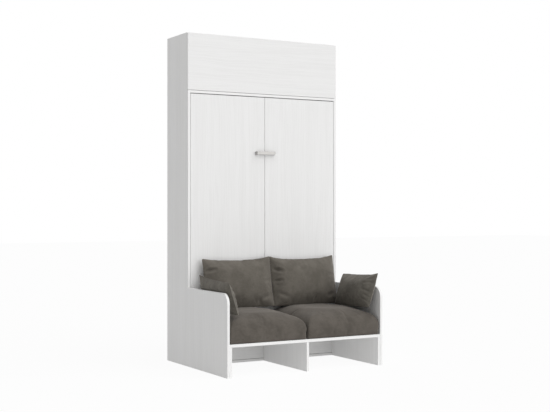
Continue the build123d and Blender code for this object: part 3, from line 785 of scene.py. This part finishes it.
@dataclass(frozen=True)
class Crease:
    """A fold pressed into a cushion's front: where it starts and ends, how deep and how wide."""

    start: tuple[float, float]
    end: tuple[float, float]
    depth: float
    width: float
    blunt: float = 0.15
    ridge: float = 0.2
    ridge_place: float = 2.0

    def press(self, flat: np.ndarray) -> np.ndarray:
        """How far each point sinks.

        Args:
            flat: The points' places across and up the cushion, one a row.

        Returns:
            The depth at each point, with a low ridge beside the fold.
        """
        start, run = np.array(self.start), np.subtract(self.end, self.start)
        along = np.clip((flat - start) @ run / (run @ run), 0.0, 1.0)
        nearest = start + along[:, None] * run
        aside = np.linalg.norm(flat - nearest, axis=1) / self.width
        fade = np.sin(math.pi * np.clip(self.blunt + (1 - self.blunt) * (1.0 - along), 0.0, 1.0))
        valley = np.exp(-(aside**2))
        ridge = self.ridge * np.exp(-((aside - self.ridge_place) ** 2) / 0.8)
        return self.depth * fade * (valley - ridge)


@dataclass
class LooseCushion:
    """A knife-edge cushion: two equal panels sewn all round, stuffed, and leant on something."""

    node: str
    body: str
    length: float
    height: float
    thickness: float
    turn: Matrix
    sag: float
    peaks: tuple[float, float]
    creases: tuple[Crease, ...]
    seed: int
    proud: Span = (3 * MM, 3 * MM, 6 * MM)
    shift: Span = (0.0, 0.0, 0.0)
    arm_top: float = 0.0
    fullness: float = 0.55
    fullness_power: float = 2.6
    sewn_full: float = 0.35
    swells: int = 7
    swell_pace: float = 26.0
    swell_depth: float = 5.0 * MM
    panel_gap: float = 2.5 * MM
    foot_play: float = 2 * MM
    below_middle: float = 0.2
    upper_power: float = 1.5
    peak_reach: float = 0.45
    front_share: float = 0.25
    cell: float = 9.0 * MM
    spare: float = 0.09
    seam_radius: float = 1.4 * MM
    filling: Filling = Filling(pressure=4.5, frames=17, slack=0.03, bending=0.12, pull=(0.1, 0.25, 1.0))

    @property
    def name(self) -> str:
        """The name of the cushion's cover."""
        return f"{self.node}_cover"

    def build(self, finish: SuedeFinish, material: Material) -> list[Piece]:
        """Sews, stuffs, shapes and places the cushion.

        Args:
            finish: The fabric. Not used.
            material: The fabric's material.

        Returns:
            The cushion and its seam.
        """
        cover, rim = self.sew()
        self.filling.blow(cover)
        self.fit(cover)
        self.shape(cover)
        self.place(cover)
        seam_line = self.seam_line(Bench.points(cover), rim)
        Bench.apply(cover, "SUBSURF", levels=1, render_levels=1)
        Bench.smooth(cover)
        seam = Bench.tube(f"{self.name}_seam", seam_line, self.seam_radius)
        for piece in (cover, seam):
            Bench.dress(piece, material)
            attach(piece, self.body)
        seam.parent = cover
        seam.matrix_parent_inverse = cover.matrix_world.inverted()
        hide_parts(self.node)
        return [cover, seam]

    def sew(self) -> tuple[Piece, np.ndarray]:
        """Lays two panels on each other with their edges joined, a little filled already.

        Returns:
            The cover and the numbers of its rim's points on both panels, in order.
        """
        grown = 1.0 + self.spare
        size = self.length * grown, self.height * grown
        cells = tuple(round(side / self.cell) for side in size)
        cover = Bench.sheet(self.name, size, cells)
        rim = self.rim_of(cells)
        count = len(cover.data.vertices)
        Bench.apply(cover, "SOLIDIFY", thickness=self.panel_gap, offset=0.0)
        points = Bench.points(cover)
        across, up = points[:, 0] / size[0] * 2, points[:, 1] / size[1] * 2
        arch = [
            np.clip(1 - np.abs(part) ** self.fullness_power, 0, 1) ** self.fullness
            for part in (across, up)
        ]
        belly = arch[0] * arch[1]
        full = 0.5 * self.thickness * self.sewn_full
        waves = self.waves(points)
        points[:, 2] += np.sign(points[:, 2]) * (belly * full + np.abs(waves) * belly)
        Bench.move_points(cover, points)
        return cover, np.column_stack([rim, rim + count])

    @staticmethod
    def rim_of(cells: tuple[int, int]) -> np.ndarray:
        """The numbers of a grid's outer points, in order round it.

        Args:
            cells: The grid's cells along X and Y.

        Returns:
            The numbers.
        """
        wide, tall = cells[0] + 1, cells[1] + 1
        table = np.arange(wide * tall).reshape(tall, wide)
        return np.concatenate([table[0, :-1], table[:-1, -1], table[-1, :0:-1], table[:0:-1, 0]])

    def waves(self, points: np.ndarray) -> np.ndarray:
        """A few gentle uneven swells, the same on each run.

        Args:
            points: The points, one a row.

        Returns:
            The height at each point.
        """
        random = np.random.default_rng(self.seed)
        total = np.zeros(len(points))
        for _ in range(self.swells):
            pace = random.normal(0.0, self.swell_pace, 2)
            total += np.sin(points[:, :2] @ pace + random.uniform(0.0, 2 * math.pi))
        return self.swell_depth * total / 3.0

    def fit(self, cover: Piece) -> None:
        """Brings the stuffed cover to the cushion's finished length, height and thickness."""
        points = Bench.points(cover)
        low, high = points.min(0), points.max(0)
        points -= (low + high) / 2
        points *= np.array([self.length, self.height, self.thickness]) / (high - low)
        Bench.move_points(cover, points)

    def shape(self, cover: Piece) -> None:
        """Lets the top seam hang between its corners, lifts the corners and presses the creases."""
        points = Bench.points(cover)
        across, up = points[:, 0] / self.length * 2, points[:, 1] / self.height * 2
        upper = np.clip((up + self.below_middle) / (1 + self.below_middle), 0, 1) ** self.upper_power
        points[:, 1] -= self.sag * upper * np.cos(np.clip(np.abs(across), 0, 1) * math.pi / 2)
        for side, lift in zip((-1, 1), self.peaks):
            near = np.clip(side * across - (1 - self.peak_reach), 0, 1) / self.peak_reach
            points[:, 1] += lift * upper * near**2
        front = np.clip(points[:, 2] / (self.front_share * self.thickness), 0, 1)
        for crease in self.creases:
            points[:, 2] -= crease.press(points[:, :2]) * front
        Bench.move_points(cover, points)

    def place(self, cover: Piece) -> None:
        """Turns the cushion as it leans and sets it in its node's box."""
        low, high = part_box(self.node)
        points = Bench.points(cover) @ np.array(self.turn.to_3x3()).T
        own_low, own_high = points.min(0), points.max(0)
        wanted = (np.array(low) + np.array(high)) / 2 + np.array(self.shift)
        points += wanted - (own_low + own_high) / 2
        aside, forward, above = self.proud
        floor = np.array([aside, forward, self.foot_play])
        ceiling = np.array([aside, 0.0, above])
        points = np.clip(points, np.array(low) - floor, np.array(high) + ceiling)
        if self.arm_top:
            over = np.clip((points[:, 2] - self.arm_top) / aside, 0, 1)
            wall = max(high[0], -low[0]) + aside * over
            points[:, 0] = np.clip(points[:, 0], -wall, wall)
        Bench.move_points(cover, points)

    @staticmethod
    def seam_line(points: np.ndarray, rim: np.ndarray) -> np.ndarray:
        """The line of the sewn edge, a little evened out."""
        line = points[rim].mean(axis=1)
        return (np.roll(line, 1, 0) + 2 * line + np.roll(line, -1, 0)) / 4


@dataclass
class SeatCushion:
    """A box cushion on the seat board: soft round edges, a crown and drawn-in sides."""

    node: str
    shrink: float = 1.5 * MM
    corner: float = 13.0 * MM
    top_round: float = 88.0 * MM
    foot_round: float = 12.0 * MM
    rear_roll: float = 0.35
    voxel: float = 9.0 * MM
    crown: float = 42.0 * MM
    crown_share: float = 0.8
    front_reach: float = 0.4
    corner_steps: int = 5
    foot_steps: int = 3
    above: float = 2 * MM
    proud: float = 10.0 * MM
    filling: Filling = Filling(
        pressure=3.0, frames=15, slack=0.02, bending=0.4, cap=24.0 * MM, pull=(0.5, 0.6, 0.8)
    )

    def __post_init__(self) -> None:
        """Finds the room that the cushion has."""
        self.low, self.high = (np.array(corner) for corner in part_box(self.node))

    def build(self, finish: SuedeFinish, material: Material) -> list[Piece]:
        """Cuts the foam block, stuffs its cover and sets it on the board.

        Args:
            finish: The fabric. Not used.
            material: The fabric's material.

        Returns:
            The cushion.
        """
        block = self.cut()
        Bench.apply(block, "REMESH", mode="VOXEL", voxel_size=self.voxel, adaptivity=0.0)
        self.roll(block)
        points = Bench.points(block)
        held = np.flatnonzero(points[:, 2] < self.low[2] + 1.5 * self.voxel)
        self.filling.blow(block, held.tolist())
        self.settle(block)
        Bench.apply(block, "SUBSURF", levels=1, render_levels=1)
        Bench.smooth(block)
        Bench.dress(block, material)
        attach(block, "cabinet")
        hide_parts(self.node)
        return [block]

    def upright(self, first: Vector, second: Vector) -> bool:
        """Whether two ends are those of an upright edge."""
        return abs(first.z - second.z) > self.top_round

    def at_foot(self, first: Vector, second: Vector) -> bool:
        """Whether two ends lie on the seat board."""
        return max(first.z, second.z) < self.low[2] + MM

    def cut(self) -> Piece:
        """The block before its cover fills out.

        Returns:
            The rounded block.
        """
        inset = np.array([self.shrink, self.shrink, 0.0])
        top = self.high - inset - np.array([0.0, 0.0, self.crown])
        block = Bench.box(f"{self.node}_cover", self.low + inset, top)
        Bench.round_edges(block, self.corner, self.corner_steps, self.upright)
        Bench.round_edges(block, self.foot_round, self.foot_steps, self.at_foot)
        return block

    def roll(self, block: Piece) -> None:
        """Rolls all four sides of the block over into the top."""
        points = Bench.points(block)
        middle, half = (self.low + self.high) / 2, (self.high - self.low) / 2
        top = points[:, 2].max()
        start = top - self.top_round
        turn = np.clip((points[:, 2] - start) / self.top_round, 0, 1) * math.pi / 2
        inset = self.top_round * (1 - np.cos(turn))
        points[:, 2] = np.where(turn > 0, start + self.top_round * np.sin(turn), points[:, 2])
        rear = np.where(points[:, 1] > middle[1], self.rear_roll, 1.0)
        for part, share in ((0, 1.0), (1, rear)):
            kept = 1 - share * inset / half[part]
            points[:, part] = middle[part] + (points[:, part] - middle[part]) * kept
        Bench.move_points(block, points)

    def settle(self, block: Piece) -> None:
        """Crowns the block's top, draws in its sides and keeps it in its place."""
        low, high = self.low, self.high
        points = Bench.points(block)
        middle, half = (low + high) / 2, (high - low) / 2
        share = (points - middle) / half
        rise = np.clip((share[:, 2] + 1) / 2, 0, 1)
        forward = np.clip(share[:, 1], -1, self.rear_roll)
        dome = np.clip(1 - share[:, 0] ** 2, 0, 1) * (1 - forward**2)
        points[:, 2] += self.crown_share * self.crown * rise**3 * dome
        points[:, 2] = np.maximum(points[:, 2], low[2])
        belly = np.sin(math.pi * np.clip((points[:, 2] - low[2]) / (high[2] - low[2]), 0, 1))
        front = np.clip(-share[:, 1] - (1 - self.front_reach), 0, self.front_reach) / self.front_reach
        points[:, 1] -= self.proud * belly * front * np.clip(1 - share[:, 0] ** 4, 0, 1)
        floor = low - np.array([0.0, self.proud, 0.0])
        ceiling = high + np.array([0.0, 0.0, self.above])
        Bench.move_points(block, np.clip(points, floor, ceiling))


@dataclass
class Mattress:
    """The foam mattress in its quilted cover, with tape edges and the straps that hold it."""

    voxel: float = 16.0 * MM
    diamond: float = 0.12
    quilt_depth: float = 7.0 * MM
    rib: float = 0.045
    corner: float = 45.0 * MM
    edge: float = 14.0 * MM
    tape_radius: float = 4.0 * MM
    tape_steps: int = 8
    corner_steps: int = 6
    edge_steps: int = 3
    stitch_width: float = 0.22
    rib_width: float = 0.3
    rib_share: float = 0.5

    def __post_init__(self) -> None:
        """Finds the room that the mattress has."""
        self.low, self.high = (np.array(corner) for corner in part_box("mattress"))

    def build(self, cover: KnitFinish, web: WebbingFinish, dresses: dict[str, Material]) -> list[Piece]:
        """Builds the mattress, its two tapes and its straps.

        Args:
            cover: The cover's finish.
            web: The straps' finish.
            dresses: Materials by finish name.

        Returns:
            The pieces.
        """
        body = Bench.box("mattress_quilted", self.low, self.high)
        Bench.round_edges(body, self.corner, self.corner_steps, self.across)
        Bench.round_edges(body, self.edge, self.edge_steps, self.on_face)
        Bench.apply(body, "REMESH", mode="VOXEL", voxel_size=self.voxel, adaptivity=0.0)
        Bench.apply(body, "SUBSURF", levels=1, render_levels=1)
        self.quilt(body)
        Bench.smooth(body)
        tapes = [self.tape(index, level) for index, level in enumerate((self.low[1], self.high[1]))]
        straps = Bench.twin("mattress_webbing", "mattress_straps")
        Bench.smooth(straps, 35.0)
        for piece in (body, *tapes):
            Bench.dress(piece, dresses[cover.name])
            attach(piece, "bed")
        Bench.dress(straps, dresses[web.name])
        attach(straps, "bed")
        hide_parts("mattress")
        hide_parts("mattress_straps")
        return [body, *tapes, straps]

    def across(self, first: Vector, second: Vector) -> bool:
        """Whether two ends are those of an edge from face to face."""
        return abs(first.y - second.y) > self.edge

    def on_face(self, first: Vector, second: Vector) -> bool:
        """Whether two ends lie on one of the two faces."""
        gap = min(abs(first.y - level) for level in (self.low[1], self.high[1]))
        return abs(first.y - second.y) < MM and gap < MM

    def quilt(self, body: Piece) -> None:
        """Sews diamonds into both faces of the mattress and upright ribs into its border."""
        points, facing = Bench.points(body), Bench.normals(body)
        across = (points[:, 0] + points[:, 2]) * math.pi / self.diamond
        along = (points[:, 0] - points[:, 2]) * math.pi / self.diamond
        line = np.minimum(np.abs(np.sin(across)), np.abs(np.sin(along)))
        dip = np.exp(-line / self.stitch_width)
        border = np.abs(np.sin((points[:, 0] + points[:, 2]) * math.pi / self.rib))
        rib_dip = self.rib_share * np.exp(-border / self.rib_width)
        flat = np.clip(np.abs(facing[:, 1]) * 3 - 1.8, 0, 1)
        depth = self.quilt_depth * (flat * dip + (1 - flat) * rib_dip)
        points -= facing * depth[:, None]
        Bench.move_points(body, np.clip(points, self.low, self.high))

    def tape(self, index: int, level: float) -> Piece:
        """The tape edge round one face.

        Args:
            index: 0 at the slats, 1 at the other face.
            level: The face's depth.

        Returns:
            The tape.
        """
        inset = self.tape_radius + 0.3 * self.edge
        depth = level + (inset if index == 0 else -inset)
        reach = self.corner
        near, far = self.low + self.tape_radius, self.high - self.tape_radius
        centres = [(near[0], near[2]), (far[0], near[2]), (far[0], far[2]), (near[0], far[2])]
        line = []
        for number, (x, z) in enumerate(centres):
            hub = x + math.copysign(reach, -x), z + (reach if z == near[2] else -reach)
            for step in range(self.tape_steps + 1):
                turn = math.pi + number * math.pi / 2 + step * math.pi / (2 * self.tape_steps)
                line.append((hub[0] + reach * math.cos(turn), depth, hub[1] + reach * math.sin(turn)))
        return Bench.tube(f"mattress_tape_{index + 1}", np.array(line), self.tape_radius)


# What the frame itself wears


@dataclass
class Boards:
    """The cabinet's, sofa's and bed front's boards: which finish each one wears."""

    edge: float = 0.7 * MM
    sharp: float = 60.0
    weld: float = 0.02 * MM
    plain_faces: int = 60
    uprights: tuple[str, ...] = (
        *(f"{kind}_left" for kind in ("side_panel", "upper_side", "armrest", "seat_support")),
        *(f"{kind}_right" for kind in ("side_panel", "upper_side", "armrest", "seat_support")),
        "seat_support_middle",
    )
    fronts: tuple[str, ...] = ("door_left", "door_right")
    rails: tuple[str, ...] = ("flap_door", "lower_front_panel", "wall_rails")
    shelves: tuple[str, ...] = (
        "seat_board",
        "bottom_panel",
        "top_panel",
        "upper_bottom_panel",
        "upper_top_panel",
    )
    backs: tuple[str, ...] = ("back_panel", "upper_back_panel")

    def finishes(self) -> dict[BoardFinish, tuple[str, ...]]:
        """The boards of each finish.

        Returns:
            Nodes by finish.
        """
        board, front = "white_ash_board", "white_ash_front"
        return {
            BoardFinish("ash_upright", board, Axis.X, Axis.Z): self.uprights,
            BoardFinish("ash_front", front, Axis.Y, Axis.Z): self.fronts,
            BoardFinish("ash_rail", board, Axis.Y, Axis.X): self.rails,
            BoardFinish("ash_shelf", board, Axis.Z, Axis.X): self.shelves,
            BoardFinish("white_back", "back_board", Axis.Y, Axis.Z, figure=0.4): self.backs,
        }

    def dress(self, effects: Effects) -> list[str]:
        """Dresses every board and softens the edges of those with no drilled holes.

        Args:
            effects: The shared effects.

        Returns:
            The boards' names.
        """
        done = []
        for finish, names in self.finishes().items():
            material = finish.make(effects)
            for name in names:
                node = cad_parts[name]
                Bench.dress(node, material)
                if len(node.data.polygons) <= self.plain_faces:
                    self.soften(node)
                done.append(name)
        return done

    def soften(self, board: Piece) -> None:
        """Breaks a board's edges a little, which also shows where two boards meet."""
        board.modifiers.new("joined", "WELD").merge_threshold = self.weld
        arris = board.modifiers.new("arris", "BEVEL")
        arris.width = self.edge
        arris.segments = 2
        arris.limit_method = "ANGLE"
        arris.angle_limit = math.radians(self.sharp)


class Fittings:
    """Metal, plastic, rubber and beech parts: the finish of each material slot."""

    def finishes(self) -> tuple[Finish, ...]:
        """The finish of each slot that the boards and fabrics leave.

        Returns:
            The finishes.
        """
        nickel, zinc = dict(roughness=0.34, brushed=0.12), dict(roughness=0.36)
        powder = dict(roughness=0.5, metallic=0.0, orange_peel=0.25)
        lacquer = dict(roughness=0.28, metallic=0.0, coat=0.4)
        rubber = dict(roughness=0.8, texture=0.5)
        rows = (
            (MetalFinish, "satin_nickel", (0.4, 0.392, 0.38), (0.5, 0.49, 0.475), nickel),
            (MetalFinish, "grey_steel", (0.34, 0.35, 0.36), (0.4, 0.41, 0.42), powder),
            (MetalFinish, "zinc_steel", (0.6, 0.6, 0.59), (0.7, 0.71, 0.72), zinc),
            (MetalFinish, "black_cylinder", (0.02, 0.02, 0.021), (0.05, 0.05, 0.05), lacquer),
            (MouldedFinish, "dark_plastic", (0.03, 0.03, 0.032), (0.06, 0.06, 0.062), {}),
            (MouldedFinish, "rubber_sleeve", (0.022, 0.022, 0.022), (0.05, 0.05, 0.05), rubber),
            (BeechFinish, "beech_slat", (0.62, 0.45, 0.27), (0.44, 0.28, 0.15), {}),
        )
        return tuple(kind(name, name, *tints, **settings) for kind, name, *tints, settings in rows)

    def dress(self, effects: Effects) -> list[str]:
        """Dresses the nodes of these slots.

        Args:
            effects: The shared effects.

        Returns:
            The nodes' names.
        """
        done = []
        by_slot = {finish.slot: finish.make(effects) for finish in self.finishes()}
        for name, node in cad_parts.items():
            slots = [material.name.split(".")[0] for material in node.data.materials if material]
            if slots and slots[0] in by_slot and name not in done:
                Bench.dress(node, by_slot[slots[0]])
                done.append(name)
        return done


@dataclass
class Sofa:
    """The sofa's soft pieces."""

    lean: float = 12.5
    pillow_lean: float = 19.0
    front_seam: float = 0.252
    gather_width: float = 8 * MM

    def back_turn(self) -> Matrix:
        """How a back cushion stands: upright and leant back on the bed front."""
        return Matrix.Rotation(math.radians(90.0 - self.lean), 4, "X")

    def pillow_turn(self, side: int, dip: float) -> Matrix:
        """How an arm pillow stands: along the arm, leant outwards, its front dipped.

        Args:
            side: -1 at the left arm, 1 at the right one.
            dip: How far its front end turns down, in degrees.

        Returns:
            The turn.
        """
        standing = Matrix.Rotation(math.radians(90.0), 4, "X")
        upright = Matrix.Rotation(math.radians(-side * 90.0), 4, "Z") @ standing
        leant = Matrix.Rotation(math.radians(side * self.pillow_lean), 4, "Y") @ upright
        return Matrix.Rotation(math.radians(dip), 4, "X") @ leant

    def gathers(self, end: int) -> tuple[Crease, ...]:
        """Short folds that run into an arm pillow's front seam.

        Args:
            end: -1 where the front seam is the pillow's first end, 1 where it is the second.

        Returns:
            The folds.
        """
        runs = (
            (0.11, 0.08, 62, 8),
            (0.07, 0.05, 90, 9),
            (0.03, 0.035, 55, 7),
            (-0.02, 0.0, 95, 9),
            (-0.06, -0.045, 60, 8),
            (-0.1, -0.07, 85, 9),
        )
        seam, width = self.front_seam, self.gather_width
        return tuple(
            Crease((end * seam, start), (end * (seam - long * MM), stop), deep * MM, width)
            for start, stop, long, deep in runs
        )

    def cushions(self) -> list[LooseCushion]:
        """The four loose cushions.

        Returns:
            The cushions, left before right.
        """
        left_creases = (
            Crease((-0.3, 0.098), (-0.215, 0.112), 25 * MM, 11 * MM),
            Crease((0.29, 0.03), (0.22, 0.0), 10 * MM, 12 * MM),
            Crease((0.28, -0.1), (0.18, -0.135), 9 * MM, 14 * MM),
            Crease((-0.1, -0.19), (-0.06, -0.13), 8 * MM, 15 * MM),
            Crease((0.17, -0.19), (0.15, -0.14), 8 * MM, 13 * MM),
        )
        right_creases = (
            Crease((-0.3, 0.105), (-0.225, 0.082), 27 * MM, 12 * MM),
            Crease((-0.3, 0.0), (-0.235, 0.006), 20 * MM, 10 * MM),
            Crease((-0.28, -0.09), (-0.19, -0.13), 9 * MM, 14 * MM),
            Crease((0.29, 0.05), (0.22, 0.03), 10 * MM, 12 * MM),
            Crease((0.27, -0.11), (0.19, -0.135), 8 * MM, 13 * MM),
            Crease((0.05, -0.19), (0.08, -0.13), 8 * MM, 15 * MM),
        )
        back = dict(length=0.606, height=0.408, thickness=0.146, fullness=0.45, turn=self.back_turn())
        back.update(shift=(10 * MM, 0.0, -8 * MM), proud=(13 * MM, 36 * MM, 6 * MM))
        soft = Filling(pressure=4.5, frames=17, slack=0.03, bending=0.12, pull=(0.12, 0.12, 1.0))
        pillow = dict(length=0.5, height=0.276, thickness=0.146, sag=5 * MM, fullness=0.85, filling=soft)
        pillow.update(proud=(32 * MM, 0.0, 6 * MM), arm_top=0.625)
        return [
            LooseCushion(
                "back_cushion_left",
                "loose_back_left",
                sag=8 * MM,
                peaks=(0.0, 8 * MM),
                creases=left_creases,
                seed=11,
                **back,
            ),
            LooseCushion(
                "back_cushion_right",
                "loose_back_right",
                sag=14 * MM,
                peaks=(6 * MM, 4 * MM),
                creases=right_creases,
                seed=23,
                **back,
            ),
            LooseCushion(
                "arm_pillow_left",
                "loose_pillow_left",
                turn=self.pillow_turn(-1, 3.0),
                shift=(-18 * MM, 12 * MM, -8 * MM),
                peaks=(-12 * MM, 6 * MM),
                creases=self.gathers(-1),
                seed=37,
                **pillow,
            ),
            LooseCushion(
                "arm_pillow_right",
                "loose_pillow_right",
                turn=self.pillow_turn(1, -2.0),
                shift=(22 * MM, 0.0, -6 * MM),
                peaks=(-8 * MM, 8 * MM),
                creases=self.gathers(1),
                seed=41,
                **pillow,
            ),
        ]

    def build(self, effects: Effects) -> list[Piece]:
        """Makes every soft piece of the sofa.

        Args:
            effects: The shared effects.

        Returns:
            The pieces.
        """
        # The seat and back cushions are one cloth in two tints: the seat copy is painted darker and the
        # back copy lighter. This is painted shade and painted light for how the light falls on each.
        seat = SuedeFinish("seat_suede", "seat_microfibre", (0.075, 0.066, 0.056), (0.112, 0.099, 0.085))
        back = SuedeFinish("back_suede", "seat_microfibre", (0.096, 0.087, 0.073), (0.136, 0.123, 0.105))
        arm = SuedeFinish("pillow_suede", "pillow_microfibre", (0.08, 0.074, 0.062), (0.15, 0.138, 0.118))
        dresses = {finish.name: finish.make(effects) for finish in (seat, back, arm)}
        pieces = []
        for side in ("left", "right"):
            pieces += SeatCushion(f"seat_cushion_{side}").build(seat, dresses[seat.name])
        for cushion in self.cushions():
            finish = arm if cushion.arm_top else back
            pieces += cushion.build(finish, dresses[finish.name])
        return pieces


@dataclass
class Studio:
    """A pale floor, soft light from the front right and above, and the camera."""

    camera_place: Span = (-4.1878, -7.4225, 1.2415)
    heading: float = -29.53
    lens: float = 69.33
    rise: float = 0.00415
    floor_size: float = 60.0
    sky: float = 0.415
    key_power: float = 2.02
    key_turn: tuple[float, float] = (48.0, 30.0)
    key_softness: float = 85.0
    floor_glow: float = 0.38
    floor_seen: float = 0.93
    floor_tints: tuple[Colour, Colour] = ((0.86, 0.86, 0.86), (0.88, 0.88, 0.88))

    def build(self) -> list[Piece]:
        """Sets the stage."""
        self.world()
        return [self.floor(), self.key(), self.camera()]

    @staticmethod
    def seen_directly(sheet: NodeSheet) -> Socket:
        """1 where the camera looks straight, in a mirror or through glass, else 0."""
        path = sheet.add("ShaderNodeLightPath").outputs
        mirrored = sheet.math("MAXIMUM", path["Is Camera Ray"], path["Is Glossy Ray"])
        return sheet.math("MAXIMUM", mirrored, path["Is Transmission Ray"])

    def world(self) -> None:
        """An even sky, plain white where it is seen."""
        world = bpy.data.worlds.new("studio_sky")
        world.use_nodes = True
        bpy.context.scene.world = world
        sheet = NodeSheet(world.node_tree)
        background = world.node_tree.nodes["Background"]
        background.inputs["Color"].default_value = opaque((1.0, 1.0, 1.0))
        seen = self.seen_directly(sheet)
        strength = sheet.math("ADD", sheet.math("MULTIPLY", seen, 1.0 - self.sky), self.sky)
        world.node_tree.links.new(strength, background.inputs["Strength"])

    def floor(self) -> Piece:
        """A wide pale floor that keeps the object's shadow."""
        bpy.ops.object.select_all(action="DESELECT")
        bpy.ops.mesh.primitive_plane_add(size=self.floor_size)
        floor = Bench.named("studio_floor")
        surface = Surface("floor_paper")
        sheet, tree = surface.sheet, surface.material.node_tree
        grit = sheet.noise(surface.place, 3.0, 2.0)
        surface.feed("Base Color", sheet.mix(grit, *self.floor_tints))
        surface.fixed(Roughness=1.0, Specular_IOR_Level=0.0)
        glow = sheet.add("ShaderNodeEmission", {"Color": opaque((1.0, 1.0, 1.0)), "Strength": 1.0})
        extra = self.floor_seen - self.floor_glow
        share = sheet.math("MULTIPLY_ADD", self.seen_directly(sheet), extra, self.floor_glow)
        ends = {0: share, 1: surface.shader.outputs[0], 2: glow.outputs[0]}
        both = sheet.add("ShaderNodeMixShader", ends)
        tree.links.new(both.outputs[0], tree.nodes["Material Output"].inputs["Surface"])
        Bench.dress(floor, surface.material)
        return floor

    def key(self) -> Piece:
        """One broad soft lamp from the front right, high up."""
        lamp = bpy.data.lights.new("key_lamp", "SUN")
        lamp.energy = self.key_power
        lamp.angle = math.radians(self.key_softness)
        key = bpy.data.objects.new("key_lamp", lamp)
        bpy.context.scene.collection.objects.link(key)
        tilt, swing = (math.radians(angle) for angle in self.key_turn)
        key.rotation_euler = (tilt, 0.0, swing)
        return key

    def camera(self) -> Piece:
        """The camera at the photographed angle."""
        lens = bpy.data.cameras.new("camera")
        lens.lens = self.lens
        lens.sensor_fit = "HORIZONTAL"
        lens.shift_y = self.rise
        lens.clip_end = 2 * self.floor_size
        camera = bpy.data.objects.new("camera", lens)
        bpy.context.scene.collection.objects.link(camera)
        camera.location = self.camera_place
        camera.rotation_euler = (math.radians(90.0), 0.0, math.radians(self.heading))
        bpy.context.scene.camera = camera
        return camera


def main() -> None:
    """Dresses the frame, makes the soft pieces and sets the stage."""
    logging.basicConfig(level=logging.INFO, format="%(name)s: %(message)s")
    bpy.context.scene.view_settings.view_transform = "Standard"
    effects = Effects()
    for part in (Boards(), Fittings()):
        for name in part.dress(effects):
            LOG.info("dressed %s", name)
    for piece in Sofa().build(effects):
        LOG.info("made %s", piece.name)
    cover = KnitFinish("mattress_knit", "mattress_cover", (0.78, 0.77, 0.74), (0.62, 0.61, 0.58))
    web = WebbingFinish("strap_webbing", "webbing", (0.03, 0.03, 0.033), (0.07, 0.07, 0.075))
    dresses = {finish.name: finish.make(effects) for finish in (cover, web)}
    for piece in Mattress().build(cover, web, dresses):
        LOG.info("made %s", piece.name)
    for piece in Studio().build():
        LOG.info("set %s", piece.name)


if __name__ == "__main__":
    main()
